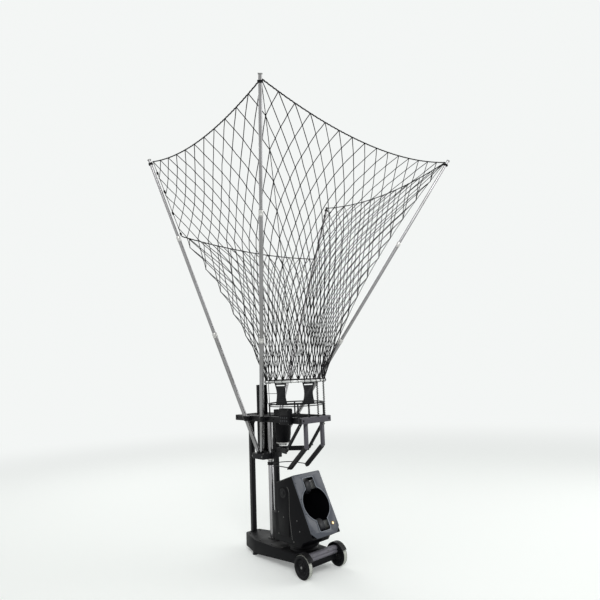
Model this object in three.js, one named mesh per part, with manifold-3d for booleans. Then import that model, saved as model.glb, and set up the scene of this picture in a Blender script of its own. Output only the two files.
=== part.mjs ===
// Basketball shooting machine: a wheeled base with a swivelling shooting head, a steel frame
// that drops each ball onto a chute, and a collecting net carried by four telescopic poles.
// Millimetres, +Z up. The outlet faces -Y. Each group of sizes below belongs to one sub-part;
// Y is measured from the wheel axle and Z from the floor, and the finished machine is then
// centred on its own footprint.

import * as THREE from 'three';
import { mergeVertices } from 'three/addons/utils/BufferGeometryUtils.js';
import Module from 'manifold-3d';

const wasm = await Module();
wasm.setup();

// Clearances shared by all pieces
const seat = 0.3;
const overrun = 20;
const sameSpot = 1e-6;

// Facet counts
const roundSides = 20;
const slimSides = 12;
const rodSides = 8;
const ringSteps = 40;
const cornerSteps = 1;
const arcSteps = 6;

// Base
const axle = { height: 90, radius: 10, halfLength: 216 };
const wheel = {
  radius: 90, width: 42, track: 193, rimRadius: 66, boreRadius: 17, ribs: 18, ribDepth: 2.5,
};
const ribShares = [-0.5, -0.42, -0.08, 0];
const hubCap = { radius: 26, flange: 3, webThickness: 12, webRadius: 50 };
const tray = {
  rear: 935, rearHalfWidth: 80, shoulder: 690, halfWidth: 150, front: -20, bottom: 30, top: 140,
  flatTo: 640, noseBottom: 68, noseFrom: 180, stepHeight: 112, stepDepth: 32, corner: 18,
};
const bumper = { halfWidth: 160, front: -32, top: 170, groove: 5, grooveHeight: 12, corner: 12 };
const fender = { gap: 9, thickness: 3, width: 50, from: 25, sweep: 125, cheekFrom: 30 };
const foot = { x: 110, y: 740, radius: 25, topRadius: 20, lip: 8 };

// Frame
const frame = {
  halfWidth: 167, beam: 40, height: 50, top: 1223, front: -20, frontDepth: 45, rear: 925, corner: 4, wall: 3,
};
const mast = { y: 535, width: 40, wall: 3, corner: 5 };
const rearPost = {
  y: 903, width: 44, wall: 3, corner: 5, gussetReach: 55, gussetDrop: 62, gussetThickness: 6,
};
const column = { y: 617, outerRadius: 25, innerRadius: 22, wall: 3, innerLow: 160, joint: 770 };
const collar = { radius: 31, height: 28, chamfer: 4 };
const midBeam = { front: 516, rear: 660, height: 26 };
const hub = { halfWidth: 112, front: 583, rear: 750, bottom: 830, top: 878, pegReach: 85, corner: 10 };
const hubClamp = { radius: 33, height: 18, chamfer: 3 };
const knob = { height: 905, radius: 17, length: 18, stemRadius: 5, stemLength: 12, lobes: 6, lobeDepth: 2.5 };
const channel = { halfWidth: 50, web: 3.5, depth: 36, rear: 742, top: 1495 };
const guideBeam = { depth: 34, height: 30 };

// Ball drop, chute and feeder
const feeder = {
  y: 429, topRadius: 84, lowRadius: 63, low: 985, plate: 6, plateFront: 340, flange: 8, rim: 6,
};
const feedRotor = { hubRadius: 30, radius: 46, height: 26, blades: 4, bladeThickness: 9, shaftRadius: 12 };
const rail = { x: 94, width: 28, y: 17.5, bend: 984, lowY: 235, low: 793 };
const guard = { x: 130, width: 20, y: 36, lowY: 235, low: 935 };
const strut = { height: 40, thickness: 12, end: 920, mastInset: 8 };
const hoop = { below: 120, radius: 4, front: 224 };
const hoopHeight = strut.end - hoop.below;
const hoopSteps = 24;

// Rings above the frame
const ringCentre = 235;
const upperRing = { radius: 258.5, tube: 11, rise: 298.5 };
const lowerRing = { radius: 239.6, tube: 6, rise: 110.5, secondDrop: 18, secondTube: 4 };
const ringHeight = { upper: frame.top + upperRing.rise, lower: frame.top + lowerRing.rise };
const ringPost = { radius: 7, footRadius: 14, footHeight: 6 };
const ringPlate = {
  width: 114, waist: 96, thickness: 5, slotWidth: 84, slotHeight: 9, slotDrop: 14,
};
const plateAngles = { left: 200, front: 254 };
const spring = { radius: 7, wire: 2.1, pitch: 23, shortPitch: 15 };
const springAngles = { side: 298, front: 274 };
const springSteps = 8;
const springSides = 5;

// Control box on the left side beam
const box = { front: 90, rear: 225, bottom: 1165, top: 1300, depth: 43, corner: 10, bevel: 4 };
const socket = { rear: 295, bottom: 1240, top: 1290, depth: 33, inset: 5, corner: 6 };

// Telescopic poles
const poleFoot = { x: 83, frontY: 636, rearY: 696, height: 900 };
const poleTip = { x: 1103, frontY: -799, rearY: 816, height: 3500 };
const tube = { lower: 19, middle: 16, upper: 13, wall: 2.5, overlap: 120 };
const jointShare = { frontLower: 0.379, frontUpper: 0.715, rearLower: 0.415, rearUpper: 0.744 };
const poleCollar = { proud: 3, length: 46, chamfer: 3 };
const poleCap = { proud: 3, length: 9, chamfer: 2 };
const poleClamp = { wall: 6, halfLength: 34, height: 44, ease: 0.4 };

// Shooting head, in the plane of its leaning front panel where it says so
const head = {
  swivelY: 200, halfWidth: 156, outletY: 30, outletHeight: 524, lean: 27.3, slope: 512, wall: 5,
  topRearY: 355, topRearHeight: 677, backY: 370, backHeight: 430, boxRear: 462, boxTop: 420,
  boxHalfWidth: 124, bottom: 205, frontBottomY: 60, lipY: 35, lipHeight: 240, bevel: 7,
};
const headHollow = { toe: 22, floor: 258 };
const headInlet = { halfWidth: 128, front: 178, rear: 335 };
const mouthShare = 0.95;
const panel = { thickness: 5, corner: 14, chamfer: 46 };
const outlet = { radius: 138, pocketWidth: 115, pocketReach: 215, pocketCorner: 14 };
const rim = { width: 5, proud: 3 };
const shooter = {
  offset: 168, behind: 82, radius: 66, width: 58, groove: 6, edge: 3, hubRadius: 24, shaftRadius: 8,
};
const motor = { radius: 38, gap: 10, bellRadius: 30, bellLength: 9 };
const lamp = { x: 98, s: -178, radius: 12, proud: 6, lensRadius: 8, lensDepth: 2 };
const turntable = { radius: 116, plateRadius: 128, split: 168, lip: 9, grooveRadius: 104 };

// Net
const net = { cord: 5, rimSag: 150, rearSag: 110, wallDraw: 120, tipInset: 34 };
const netColumns = 8;
const netRows = 10;
const netRearRows = 6;
const sharpestShare = 0.1;
const netNudge = 0.125;

const X = new THREE.Vector3(1, 0, 0);
const Y = new THREE.Vector3(0, 1, 0);
const Z = new THREE.Vector3(0, 0, 1);

// Finishes, read from the photograph
function finish(colour, roughness, metalness) {
  return () => new THREE.MeshStandardMaterial({ color: colour, roughness, metalness });
}
const blackPaint = finish(0x1b1b20, 0.5, 0.2);
const greyPaint = finish(0x6a6870, 0.45, 0.2);
const chrome = finish(0xc9c9c6, 0.18, 1);
const zinc = finish(0xa9a9a6, 0.4, 1);
const slate = finish(0x53565e, 0.38, 0.1);
const shellBlack = finish(0x17171b, 0.45, 0.05);
const rubber = finish(0x202022, 0.8, 0);
const tread = finish(0xb9beb2, 0.7, 0);
const wheelGrey = finish(0x8d8f92, 0.6, 0);
const lampWarm = finish(0xf2e3b3, 0.2, 0.1);
const cord = finish(0x121214, 0.85, 0);

const machine = new THREE.Group();

function add(parent, name, geometry, material) {
  const mesh = new THREE.Mesh(geometry, material());
  mesh.name = name;
  parent.add(mesh);
  return mesh;
}

// Solids: joins and cuts
function toSolid(geometry) {
  const bare = geometry.clone();
  bare.deleteAttribute('normal');
  bare.deleteAttribute('uv');
  const merged = mergeVertices(bare);
  const index = merged.index.array;
  const kept = [];
  for (let i = 0; i < index.length; i += 3) {
    const [a, b, c] = [index[i], index[i + 1], index[i + 2]];
    if (a !== b && b !== c && c !== a) kept.push(a, b, c);
  }
  const vertProperties = merged.attributes.position.array;
  return new wasm.Manifold(new wasm.Mesh({ numProp: 3, vertProperties, triVerts: Uint32Array.from(kept) }));
}

function fromSolid(solid) {
  const mesh = solid.getMesh();
  const geometry = new THREE.BufferGeometry();
  geometry.setAttribute('position', new THREE.BufferAttribute(mesh.vertProperties, 3));
  geometry.setIndex(new THREE.BufferAttribute(mesh.triVerts, 1));
  geometry.computeVertexNormals();
  return geometry;
}

function join(...pieces) {
  return fromSolid(pieces.map(toSolid).reduce((whole, piece) => whole.add(piece)));
}

function cut(body, ...tools) {
  return fromSolid(tools.map(toSolid).reduce((rest, tool) => rest.subtract(tool), toSolid(body)));
}

function common(first, second) {
  return fromSolid(toSolid(first).intersect(toSolid(second)));
}

// Solids: blocks, bars, plates, turned pieces and rods
function block(x0, x1, y0, y1, z0, z1) {
  const geometry = new THREE.BoxGeometry(x1 - x0, y1 - y0, z1 - z0);
  return geometry.translate((x0 + x1) / 2, (y0 + y1) / 2, (z0 + z1) / 2);
}

function roundedRectangle(left, right, low, high, radius) {
  const shape = new THREE.Shape();
  shape.moveTo(left + radius, low);
  shape.lineTo(right - radius, low);
  shape.absarc(right - radius, low + radius, radius, -Math.PI / 2, 0);
  shape.lineTo(right, high - radius);
  shape.absarc(right - radius, high - radius, radius, 0, Math.PI / 2);
  shape.lineTo(left + radius, high);
  shape.absarc(left + radius, high - radius, radius, Math.PI / 2, Math.PI);
  shape.lineTo(left, low + radius);
  shape.absarc(left + radius, low + radius, radius, Math.PI, Math.PI * 1.5);
  return shape;
}

// The same rectangle with a wall all round, as the section of a beam
function hollowSection(left, right, low, high) {
  const shape = roundedRectangle(left, right, low, high, frame.corner);
  const [a0, a1, b0, b1] = [left + frame.wall, right - frame.wall, low + frame.wall, high - frame.wall];
  shape.holes.push(outline([[a0, b0], [a0, b1], [a1, b1], [a1, b0]]));
  return shape;
}

function outline(points) {
  return new THREE.Shape(points.map(([a, b]) => new THREE.Vector2(a, b)));
}

// The same outline as straight steps, without the doubled points where its arcs meet its lines
function stepped(shape, steps) {
  const single = (points) => points.filter((point, i) => {
    const before = points[(i + points.length - 1) % points.length];
    return point.distanceTo(before) > sameSpot;
  });
  const drawn = shape.extractPoints(steps);
  const result = new THREE.Shape(single(drawn.shape));
  result.holes = drawn.holes.map((hole) => new THREE.Path(single(hole)));
  return result;
}

function extrude(shape, depth, steps = cornerSteps) {
  return new THREE.ExtrudeGeometry(stepped(shape, steps), { depth, bevelEnabled: false });
}

// A section drawn in (Y, Z) and drawn out along X, and one drawn in (Z, X) and drawn out along Y
const alongX = new THREE.Matrix4().makeBasis(Y, Z, X);
const alongY = new THREE.Matrix4().makeBasis(Z, X, Y);

function extrudeX(shape, x0, x1, steps = cornerSteps) {
  return extrude(shape, x1 - x0, steps).applyMatrix4(alongX).translate(x0, 0, 0);
}

function extrudeY(shape, y0, y1, steps = cornerSteps) {
  return extrude(shape, y1 - y0, steps).applyMatrix4(alongY).translate(0, y0, 0);
}

function extrudeZ(shape, z0, z1, steps = cornerSteps) {
  return extrude(shape, z1 - z0, steps).translate(0, 0, z0);
}

// A profile of [radius, height] points turned about Z
function turned(profile, sides = roundSides) {
  const points = profile.map(([radius, height]) => new THREE.Vector2(radius, height));
  return new THREE.LatheGeometry(points, sides).rotateX(Math.PI / 2);
}

function disc(radius, z0, z1, sides = roundSides) {
  return turned([[0, z0], [radius, z0], [radius, z1], [0, z1]], sides);
}

function pipe(outer, inner, z0, z1, sides = roundSides) {
  return turned([[inner, z0], [outer, z0], [outer, z1], [inner, z1], [inner, z0]], sides);
}

function squareTube(width, wall, corner, z0, z1) {
  const shape = roundedRectangle(-width / 2, width / 2, -width / 2, width / 2, corner);
  const bore = width / 2 - wall;
  shape.holes.push(outline([[-bore, -bore], [-bore, bore], [bore, bore], [bore, -bore]]));
  return extrudeZ(shape, z0, z1);
}

function rod(path, radius, sides, steps) {
  const corners = Array.from({ length: sides }, (_, i) => {
    const angle = (i / sides) * Math.PI * 2;
    return [radius * Math.cos(angle), radius * Math.sin(angle)];
  });
  return new THREE.ExtrudeGeometry(outline(corners), { extrudePath: path, steps, bevelEnabled: false });
}

function turnTo(object, direction) {
  object.quaternion.setFromUnitVectors(Z, direction);
}

// A bent flat bar: the centre line is offset to both sides by half the width
function bentBar(centreLine, width) {
  const points = centreLine.map(([a, b]) => new THREE.Vector2(a, b));
  const edge = (side) => points.map((point, i) => {
    const before = point.clone().sub(points[Math.max(i - 1, 0)]).normalize();
    const after = points[Math.min(i + 1, points.length - 1)].clone().sub(point).normalize();
    const along = before.clone().add(after).normalize();
    const leg = before.lengthSq() > after.lengthSq() ? before : after;
    const reach = (side * width) / 2 / Math.abs(along.dot(leg));
    return [point.x - along.y * reach, point.y + along.x * reach];
  });
  return outline([...edge(-1), ...edge(1).reverse()]);
}

// Base: tray with a stepped nose, bumper, fenders, wheels and feet
function buildBase(parent) {
  const sides = outline([
    [tray.front, tray.noseBottom], [tray.noseFrom, tray.noseBottom], [tray.flatTo, tray.bottom],
    [tray.rear, tray.bottom], [tray.rear, tray.top], [tray.front + tray.stepDepth, tray.top],
    [tray.front + tray.stepDepth, tray.stepHeight], [tray.front, tray.stepHeight],
  ]);
  const plan = new THREE.Shape();
  const rearX = tray.rearHalfWidth;
  plan.moveTo(-tray.halfWidth, tray.front);
  plan.lineTo(tray.halfWidth, tray.front);
  plan.lineTo(tray.halfWidth, tray.shoulder);
  plan.lineTo(rearX, tray.rear - tray.corner);
  plan.quadraticCurveTo(rearX, tray.rear, rearX - tray.corner, tray.rear);
  plan.lineTo(-rearX + tray.corner, tray.rear);
  plan.quadraticCurveTo(-rearX, tray.rear, -rearX, tray.rear - tray.corner);
  plan.lineTo(-tray.halfWidth, tray.shoulder);
  const body = common(
    extrudeX(sides, -tray.halfWidth - overrun, tray.halfWidth + overrun),
    extrudeZ(plan, 0, tray.top + overrun),
  );
  const bore = rodAlongX(axle.radius + seat, -tray.halfWidth - overrun, tray.halfWidth + overrun);
  add(parent, 'base_tray', cut(body, bore), blackPaint);
  add(parent, 'axle', rodAlongX(axle.radius, -axle.halfLength, axle.halfLength), zinc);

  const face = bumper.front;
  const back = tray.front + tray.stepDepth - seat;
  const low = tray.stepHeight + seat;
  const middle = (low + bumper.top) / 2;
  const section = new THREE.Shape();
  section.moveTo(back, low);
  section.lineTo(back, bumper.top);
  section.lineTo(face + bumper.corner, bumper.top);
  section.quadraticCurveTo(face, bumper.top, face, bumper.top - bumper.corner);
  section.lineTo(face, middle + bumper.grooveHeight / 2);
  section.lineTo(face + bumper.groove, middle + bumper.grooveHeight / 4);
  section.lineTo(face + bumper.groove, middle - bumper.grooveHeight / 4);
  section.lineTo(face, middle - bumper.grooveHeight / 2);
  section.lineTo(face, low + bumper.corner);
  section.quadraticCurveTo(face, low, face + bumper.corner, low);
  add(parent, 'front_bumper', extrudeX(section, -bumper.halfWidth, bumper.halfWidth), greyPaint);

  for (const [word, side] of [['left', -1], ['right', 1]]) {
    add(parent, `fender_${word}`, fenderSolid(side), blackPaint);
    add(parent, `wheel_${word}`, wheelSolid(), tread).position.set(side * wheel.track, 0, axle.height);
    const stand = turned([
      [0, 0], [foot.radius, 0], [foot.radius, foot.lip], [foot.topRadius, tray.bottom - seat],
      [0, tray.bottom - seat],
    ]);
    add(parent, `foot_${word}`, stand, rubber).position.set(side * foot.x, foot.y, 0);
  }
}

function rodAlongX(radius, x0, x1, y = 0, z = axle.height, sides = slimSides) {
  return disc(radius, x0, x1, sides).applyMatrix4(alongX).translate(0, y, z);
}

// A bent strip over the wheel, with a cheek that ends on the bumper
function fenderSolid(side) {
  const inner = wheel.radius + fender.gap;
  const outer = inner + fender.thickness;
  const start = THREE.MathUtils.degToRad(fender.from);
  const end = THREE.MathUtils.degToRad(fender.from + fender.sweep);
  const arc = (cheek) => {
    const shape = new THREE.Shape();
    shape.absarc(0, axle.height, outer, start, end);
    shape.absarc(0, axle.height, cheek, end, start, true);
    return shape;
  };
  const near = bumper.halfWidth + seat;
  const cheekTo = near + fender.thickness;
  const stripTo = near + fender.width;
  const strip = extrudeX(arc(inner), side > 0 ? near : -stripTo, side > 0 ? stripTo : -near, arcSteps);
  const [from, to] = side > 0 ? [near, cheekTo] : [-cheekTo, -near];
  const cheek = extrudeX(arc(fender.cheekFrom), from, to, arcSteps);
  return join(strip, cheek);
}

// A ribbed tyre on a dished rim that carries the bright hub cap
function wheelSolid() {
  const shape = new THREE.Shape();
  const step = (Math.PI * 2) / wheel.ribs;
  for (let rib = 0; rib < wheel.ribs; rib += 1) {
    ribShares.forEach((share, corner) => {
      const radius = corner === 1 || corner === 2 ? wheel.radius : wheel.radius - wheel.ribDepth;
      const angle = (rib + share) * step;
      const place = [radius * Math.cos(angle), radius * Math.sin(angle)];
      if (rib === 0 && corner === 0) shape.moveTo(...place);
      else shape.lineTo(...place);
    });
  }
  const half = wheel.width / 2;
  const bore = axle.radius + seat;
  const web = hubCap.webThickness / 2;
  const rimHalf = half - hubCap.flange;
  const wide = wheel.radius + overrun;
  const section = turned([
    [bore, -half], [wheel.boreRadius, -half], [hubCap.webRadius, -web],
    [wheel.rimRadius - hubCap.flange, -rimHalf],
    [wheel.rimRadius, -half], [wide, -half], [wide, half], [wheel.rimRadius, half],
    [wheel.rimRadius - hubCap.flange, rimHalf], [hubCap.webRadius, web], [hubCap.radius, half], [bore, half],
    [bore, -half],
  ]).applyMatrix4(alongX);
  return common(extrudeX(shape, -half, half), section);
}

// Frame: beams, posts, column, hub and the bracket that guides the poles
function buildFrame(parent) {
  const low = frame.top - frame.height;
  const inner = frame.halfWidth - frame.beam;
  const frontRear = frame.front + frame.frontDepth;
  const beam = (y0, y1, z0 = low) => hollowSection(y0, y1, z0, frame.top);
  add(parent, 'frame_front_beam',
    extrudeX(beam(frame.front, frontRear), -frame.halfWidth, frame.halfWidth), greyPaint);
  for (const [word, side] of [['left', -1], ['right', 1]]) {
    const near = side > 0 ? inner : -frame.halfWidth;
    const section = hollowSection(low, frame.top, near, near + frame.beam);
    const clamps = poles().filter((pole) => pole.side === side).map(clampSolid);
    const body = join(extrudeY(section, frontRear + seat, frame.rear), ...clamps);
    add(parent, `frame_side_beam_${word}`, body, blackPaint);
  }
  const across = inner - seat;
  const rearFront = rearPost.y - rearPost.width / 2;
  add(parent, 'frame_rear_beam', extrudeX(beam(rearFront, frame.rear), -across, across), blackPaint);
  const midLow = frame.top - midBeam.height;
  add(parent, 'frame_mid_beam',
    extrudeX(beam(midBeam.front, midBeam.rear, midLow), -across, across), blackPaint);
  const stand = tray.top + seat;
  const mastTube = squareTube(mast.width, mast.wall, mast.corner, stand, midLow - seat);
  add(parent, 'mast', mastTube, blackPaint).position.y = mast.y;
  const post = squareTube(rearPost.width, rearPost.wall, rearPost.corner, stand, low - seat);
  const top = low - seat;
  const reach = rearPost.width / 2 - rearPost.wall / 2;
  const gusset = (side) => extrudeY(outline([
    [top, side * reach], [top, side * (reach + rearPost.gussetReach)],
    [top - rearPost.gussetDrop, side * reach],
  ]), -rearPost.gussetThickness / 2, rearPost.gussetThickness / 2);
  add(parent, 'rear_post', join(post, gusset(-1), gusset(1)), blackPaint).position.y = rearPost.y;

  const outer = pipe(column.outerRadius, column.outerRadius - column.wall, stand, column.joint);
  add(parent, 'column_outer', outer, chrome).position.y = column.y;
  const innerBore = column.innerRadius - column.wall;
  const inside = pipe(column.innerRadius, innerBore, column.innerLow, midLow - seat);
  add(parent, 'column_inner', inside, chrome).position.y = column.y;
  const ringLow = column.joint + seat;
  const bore = column.innerRadius + seat;
  add(parent, 'column_collar', turned([
    [bore, ringLow], [collar.radius, ringLow], [collar.radius, ringLow + collar.height - collar.chamfer],
    [collar.radius - collar.chamfer, ringLow + collar.height], [bore, ringLow + collar.height],
    [bore, ringLow],
  ]), blackPaint).position.y = column.y;
}

// The hub block holds the four pegs that the poles stand on; its split clamp grips the column.
// The channel behind the column stands on the block and is welded to a cross bar of the frame
function buildHub(parent) {
  const plate = extrudeZ(
    roundedRectangle(-hub.halfWidth, hub.halfWidth, hub.front, hub.rear, hub.corner), hub.bottom, hub.top,
  );
  const bore = disc(column.innerRadius + seat, hub.bottom - overrun, hub.top + overrun)
    .translate(0, column.y, 0);
  const drilled = cut(plate, bore);
  const pegRadius = tube.lower - tube.wall - seat;
  const pegs = poles().map((pole) => {
    const start = pole.foot.clone().addScaledVector(pole.direction, -(poleFoot.height - hub.top));
    const peg = disc(pegRadius, -hub.corner, hub.pegReach, slimSides);
    return peg.applyQuaternion(new THREE.Quaternion().setFromUnitVectors(Z, pole.direction))
      .translate(start.x, start.y, start.z);
  });
  const clampLow = hub.bottom - hubClamp.height;
  const clampTop = hub.bottom + hubClamp.chamfer;
  const inner = column.innerRadius + seat;
  const clamp = turned([
    [inner, clampLow], [hubClamp.radius - hubClamp.chamfer, clampLow],
    [hubClamp.radius, clampLow + hubClamp.chamfer], [hubClamp.radius, clampTop], [inner, clampTop],
    [inner, clampLow],
  ]).translate(0, column.y, 0);
  add(parent, 'pole_hub', join(drilled, clamp, ...pegs), blackPaint);

  const outside = channel.halfWidth;
  const front = channel.rear - channel.depth;
  const section = outline([
    [-outside, front], [-outside + channel.web, front], [-outside + channel.web, channel.rear - channel.web],
    [outside - channel.web, channel.rear - channel.web], [outside - channel.web, front], [outside, front],
    [outside, channel.rear], [-outside, channel.rear],
  ]);
  const across = frame.halfWidth - frame.beam - seat;
  const crossBar = extrudeX(roundedRectangle(
    channel.rear - channel.web / 2, channel.rear + guideBeam.depth, frame.top - guideBeam.height, frame.top,
    frame.corner,
  ), -across, across);
  const upright = extrudeZ(section, hub.top + seat, channel.top);
  const poleRoom = block(-outside + channel.web, outside - channel.web, front - overrun,
    channel.rear - channel.web, hub.top, channel.top);
  add(parent, 'pole_channel', join(upright, cut(crossBar, poleRoom)), blackPaint);

  const turn = new THREE.Group();
  turn.position.set(-mast.width / 2 - seat, mast.y, knob.height);
  parent.add(turn);
  add(turn, 'clamp_knob', knobSolid(), rubber);
}

// A lobed hand knob on a short stem, pointing to -X
function knobSolid() {
  const shape = new THREE.Shape();
  const count = knob.lobes * 4;
  for (let i = 0; i < count; i += 1) {
    const angle = (i / count) * Math.PI * 2;
    const radius = knob.radius - knob.lobeDepth * (i % 4 < 2 ? 0 : 1);
    if (i === 0) shape.moveTo(radius, 0);
    else shape.lineTo(radius * Math.cos(angle), radius * Math.sin(angle));
  }
  const start = -knob.stemLength - knob.length;
  const grip = extrudeX(shape, start, -knob.stemLength);
  const stem = rodAlongX(knob.stemRadius, start + knob.length / 2, 0, 0, 0);
  return join(grip, stem);
}

// Feeder: a plate between the side beams, the funnel-shaped housing under it and its rotor
function buildFeeder(parent) {
  const low = frame.top - frame.height;
  const across = frame.halfWidth - frame.beam - seat;
  const plateFrom = low + feeder.plate;
  const rear = mast.y - mast.width / 2 - seat;
  const sheet = block(-across, across, feeder.plateFront, rear, plateFrom, plateFrom + feeder.plate);
  const top = plateFrom + feeder.plate / 2;
  const housing = turned([
    [0, feeder.low], [feeder.lowRadius - feeder.rim, feeder.low], [feeder.lowRadius, feeder.low + feeder.rim],
    [feeder.topRadius - feeder.flange, top - feeder.flange], [feeder.topRadius, top - feeder.flange],
    [feeder.topRadius, top], [0, top],
  ]);
  add(parent, 'feeder_housing', join(sheet, housing.translate(0, feeder.y, 0)), shellBlack);

  const turn = new THREE.Group();
  turn.position.set(0, feeder.y, feeder.low - seat);
  parent.add(turn);
  const shaft = disc(feedRotor.shaftRadius, -feedRotor.height, 0, slimSides);
  const boss = disc(feedRotor.hubRadius, -feedRotor.height, -feedRotor.height / 3, slimSides);
  const blades = [];
  for (let i = 0; i < feedRotor.blades / 2; i += 1) {
    const halfThickness = feedRotor.bladeThickness / 2;
    blades.push(block(-feedRotor.radius, feedRotor.radius, -halfThickness, halfThickness,
      -feedRotor.height, -feedRotor.height / 2).rotateZ((i * Math.PI * 2) / feedRotor.blades));
  }
  add(turn, 'feed_rotor', join(shaft, boss, ...blades), zinc);
}

// Chute: two bent rails, the side guards with their struts, and the rear hoop
function buildChute(parent) {
  const top = frame.top - frame.height - seat;
  for (const [word, side] of [['left', -1], ['right', 1]]) {
    const half = rail.width / 2;
    const line = bentBar([[rail.y, top], [rail.y, rail.bend], [rail.lowY, rail.low]], rail.width);
    add(parent, `ball_rail_${word}`, extrudeX(line, side * rail.x - half, side * rail.x + half), greyPaint);

    const guardHalf = guard.width / 2;
    const guardLine = bentBar([[guard.y, top], [guard.lowY, guard.low]], guard.width);
    const trimmed = common(
      extrudeX(guardLine, side * guard.x - guardHalf, side * guard.x + guardHalf),
      block(side * guard.x - guard.width, side * guard.x + guard.width, -overrun, mast.y, hoopHeight, top),
    );
    const from = new THREE.Vector3(side * guard.x, guard.lowY, guard.low);
    const to = new THREE.Vector3(side * strut.mastInset, mast.y, strut.end);
    const along = to.clone().sub(from);
    const [halfThick, halfHigh] = [strut.thickness / 2, strut.height / 2];
    const bar = block(0, along.length(), -halfThick, halfThick, -halfHigh, halfHigh);
    const heading = Math.atan2(along.y, along.x);
    bar.rotateY(-Math.atan2(along.z, Math.hypot(along.x, along.y))).rotateZ(heading);
    bar.translate(from.x, from.y, from.z);
    const keepOut = mast.width / 2 + seat;
    const mastSpace = block(-keepOut, keepOut, mast.y - keepOut, mast.y + keepOut, hub.bottom, top);
    add(parent, `side_guard_${word}`, cut(join(trimmed, bar), mastSpace), blackPaint);
  }

  const hoopX = rail.x + rail.width / 2 + seat + hoop.radius;
  const rearmost = mast.y - mast.width / 2 - seat - hoop.radius;
  const path = new THREE.CurvePath();
  const centreY = rearmost - hoopX;
  path.add(new THREE.LineCurve3(
    new THREE.Vector3(-hoopX, hoop.front, hoopHeight), new THREE.Vector3(-hoopX, centreY, hoopHeight),
  ));
  path.add(new HalfTurn(new THREE.Vector3(0, centreY, hoopHeight), hoopX));
  path.add(new THREE.LineCurve3(
    new THREE.Vector3(hoopX, centreY, hoopHeight), new THREE.Vector3(hoopX, hoop.front, hoopHeight),
  ));
  add(parent, 'chute_hoop', rod(path, hoop.radius, rodSides, hoopSteps), blackPaint);
}

// Half a circle in a level plane, from -X round the far side to +X
class HalfTurn extends THREE.Curve {
  constructor(centre, radius) {
    super();
    this.centre = centre;
    this.radius = radius;
  }

  getPoint(share, target = new THREE.Vector3()) {
    const angle = Math.PI * (1 - share);
    return target.set(Math.cos(angle), Math.sin(angle), 0).multiplyScalar(this.radius).add(this.centre);
  }
}

// Rings: the net ring, the stand ring on its posts, the waisted plates and the springs
function buildRings(parent) {
  const group = new THREE.Group();
  group.position.y = ringCentre;
  parent.add(group);
  const net = new THREE.TorusGeometry(upperRing.radius, upperRing.tube, rodSides, ringSteps);
  add(group, 'net_ring', net, zinc).position.z = ringHeight.upper;

  const stand = new THREE.TorusGeometry(lowerRing.radius, lowerRing.tube, slimSides / 2, ringSteps)
    .translate(0, 0, ringHeight.lower);
  const second = new THREE.TorusGeometry(lowerRing.radius, lowerRing.secondTube, slimSides / 2, ringSteps)
    .translate(0, 0, ringHeight.lower - lowerRing.secondDrop);
  const postX = frame.halfWidth - frame.beam / 2;
  const postY = Math.sqrt(lowerRing.radius ** 2 - postX ** 2);
  const posts = [];
  for (const sideX of [-1, 1]) {
    for (const sideY of [-1, 1]) {
      const foot = frame.top + seat;
      const shoulder = foot + ringPost.footHeight;
      posts.push(turned([
        [0, foot], [ringPost.footRadius, foot], [ringPost.footRadius, shoulder], [ringPost.radius, shoulder],
        [ringPost.radius, ringHeight.lower], [0, ringHeight.lower],
      ], rodSides).translate(sideX * postX, sideY * postY, 0));
    }
  }
  add(group, 'stand_ring', join(stand, second, ...posts), blackPaint);

  for (const [word, angle] of Object.entries(plateAngles)) {
    const holder = new THREE.Group();
    holder.rotation.z = THREE.MathUtils.degToRad(angle + 90);
    group.add(holder);
    const lowRadius = lowerRing.radius + lowerRing.tube + seat + ringPlate.thickness / 2;
    const lowHeight = ringHeight.lower - lowerRing.tube;
    const outward = upperRing.radius - lowRadius;
    const rise = ringHeight.upper - lowHeight;
    const length = Math.hypot(outward, rise) - upperRing.tube - seat;
    const plate = extrude(waistedPlate(length), ringPlate.thickness, arcSteps)
      .translate(0, 0, -ringPlate.thickness / 2).rotateX(Math.PI / 2);
    const mesh = add(holder, `ring_plate_${word}`, plate, blackPaint);
    mesh.position.set(0, -lowRadius, lowHeight);
    mesh.rotation.x = Math.atan2(outward, rise);
  }
}

// A plate with hollowed sides and a long slot near its top edge
function waistedPlate(length) {
  const half = ringPlate.width / 2;
  const pinch = ringPlate.waist - half;
  const shape = new THREE.Shape();
  shape.moveTo(-half, 0);
  shape.lineTo(half, 0);
  shape.quadraticCurveTo(pinch, length / 2, half, length);
  shape.lineTo(-half, length);
  shape.quadraticCurveTo(-pinch, length / 2, -half, 0);
  const slot = new THREE.Path();
  const halfSlot = ringPlate.slotWidth / 2;
  const top = length - ringPlate.slotDrop;
  slot.moveTo(-halfSlot, top);
  slot.lineTo(-halfSlot, top - ringPlate.slotHeight);
  slot.lineTo(halfSlot, top - ringPlate.slotHeight);
  slot.lineTo(halfSlot, top);
  shape.holes.push(slot);
  return shape;
}

// A coil of round wire that stands on its straight ends
function coil(height, pitch) {
  const straight = spring.wire * 2;
  const curls = Math.round((height - straight * 2) / pitch);
  const climb = (height - straight * 2) / curls;
  const points = [new THREE.Vector3(spring.radius, 0, 0)];
  for (let step = 0; step <= curls * springSteps; step += 1) {
    const turn = step / springSteps;
    const angle = turn * Math.PI * 2;
    points.push(new THREE.Vector3(
      spring.radius * Math.cos(angle), spring.radius * Math.sin(angle), straight + turn * climb,
    ));
  }
  points.push(new THREE.Vector3(spring.radius, 0, height));
  return rod(new THREE.CatmullRomCurve3(points), spring.wire, springSides, points.length - 1);
}

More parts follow.
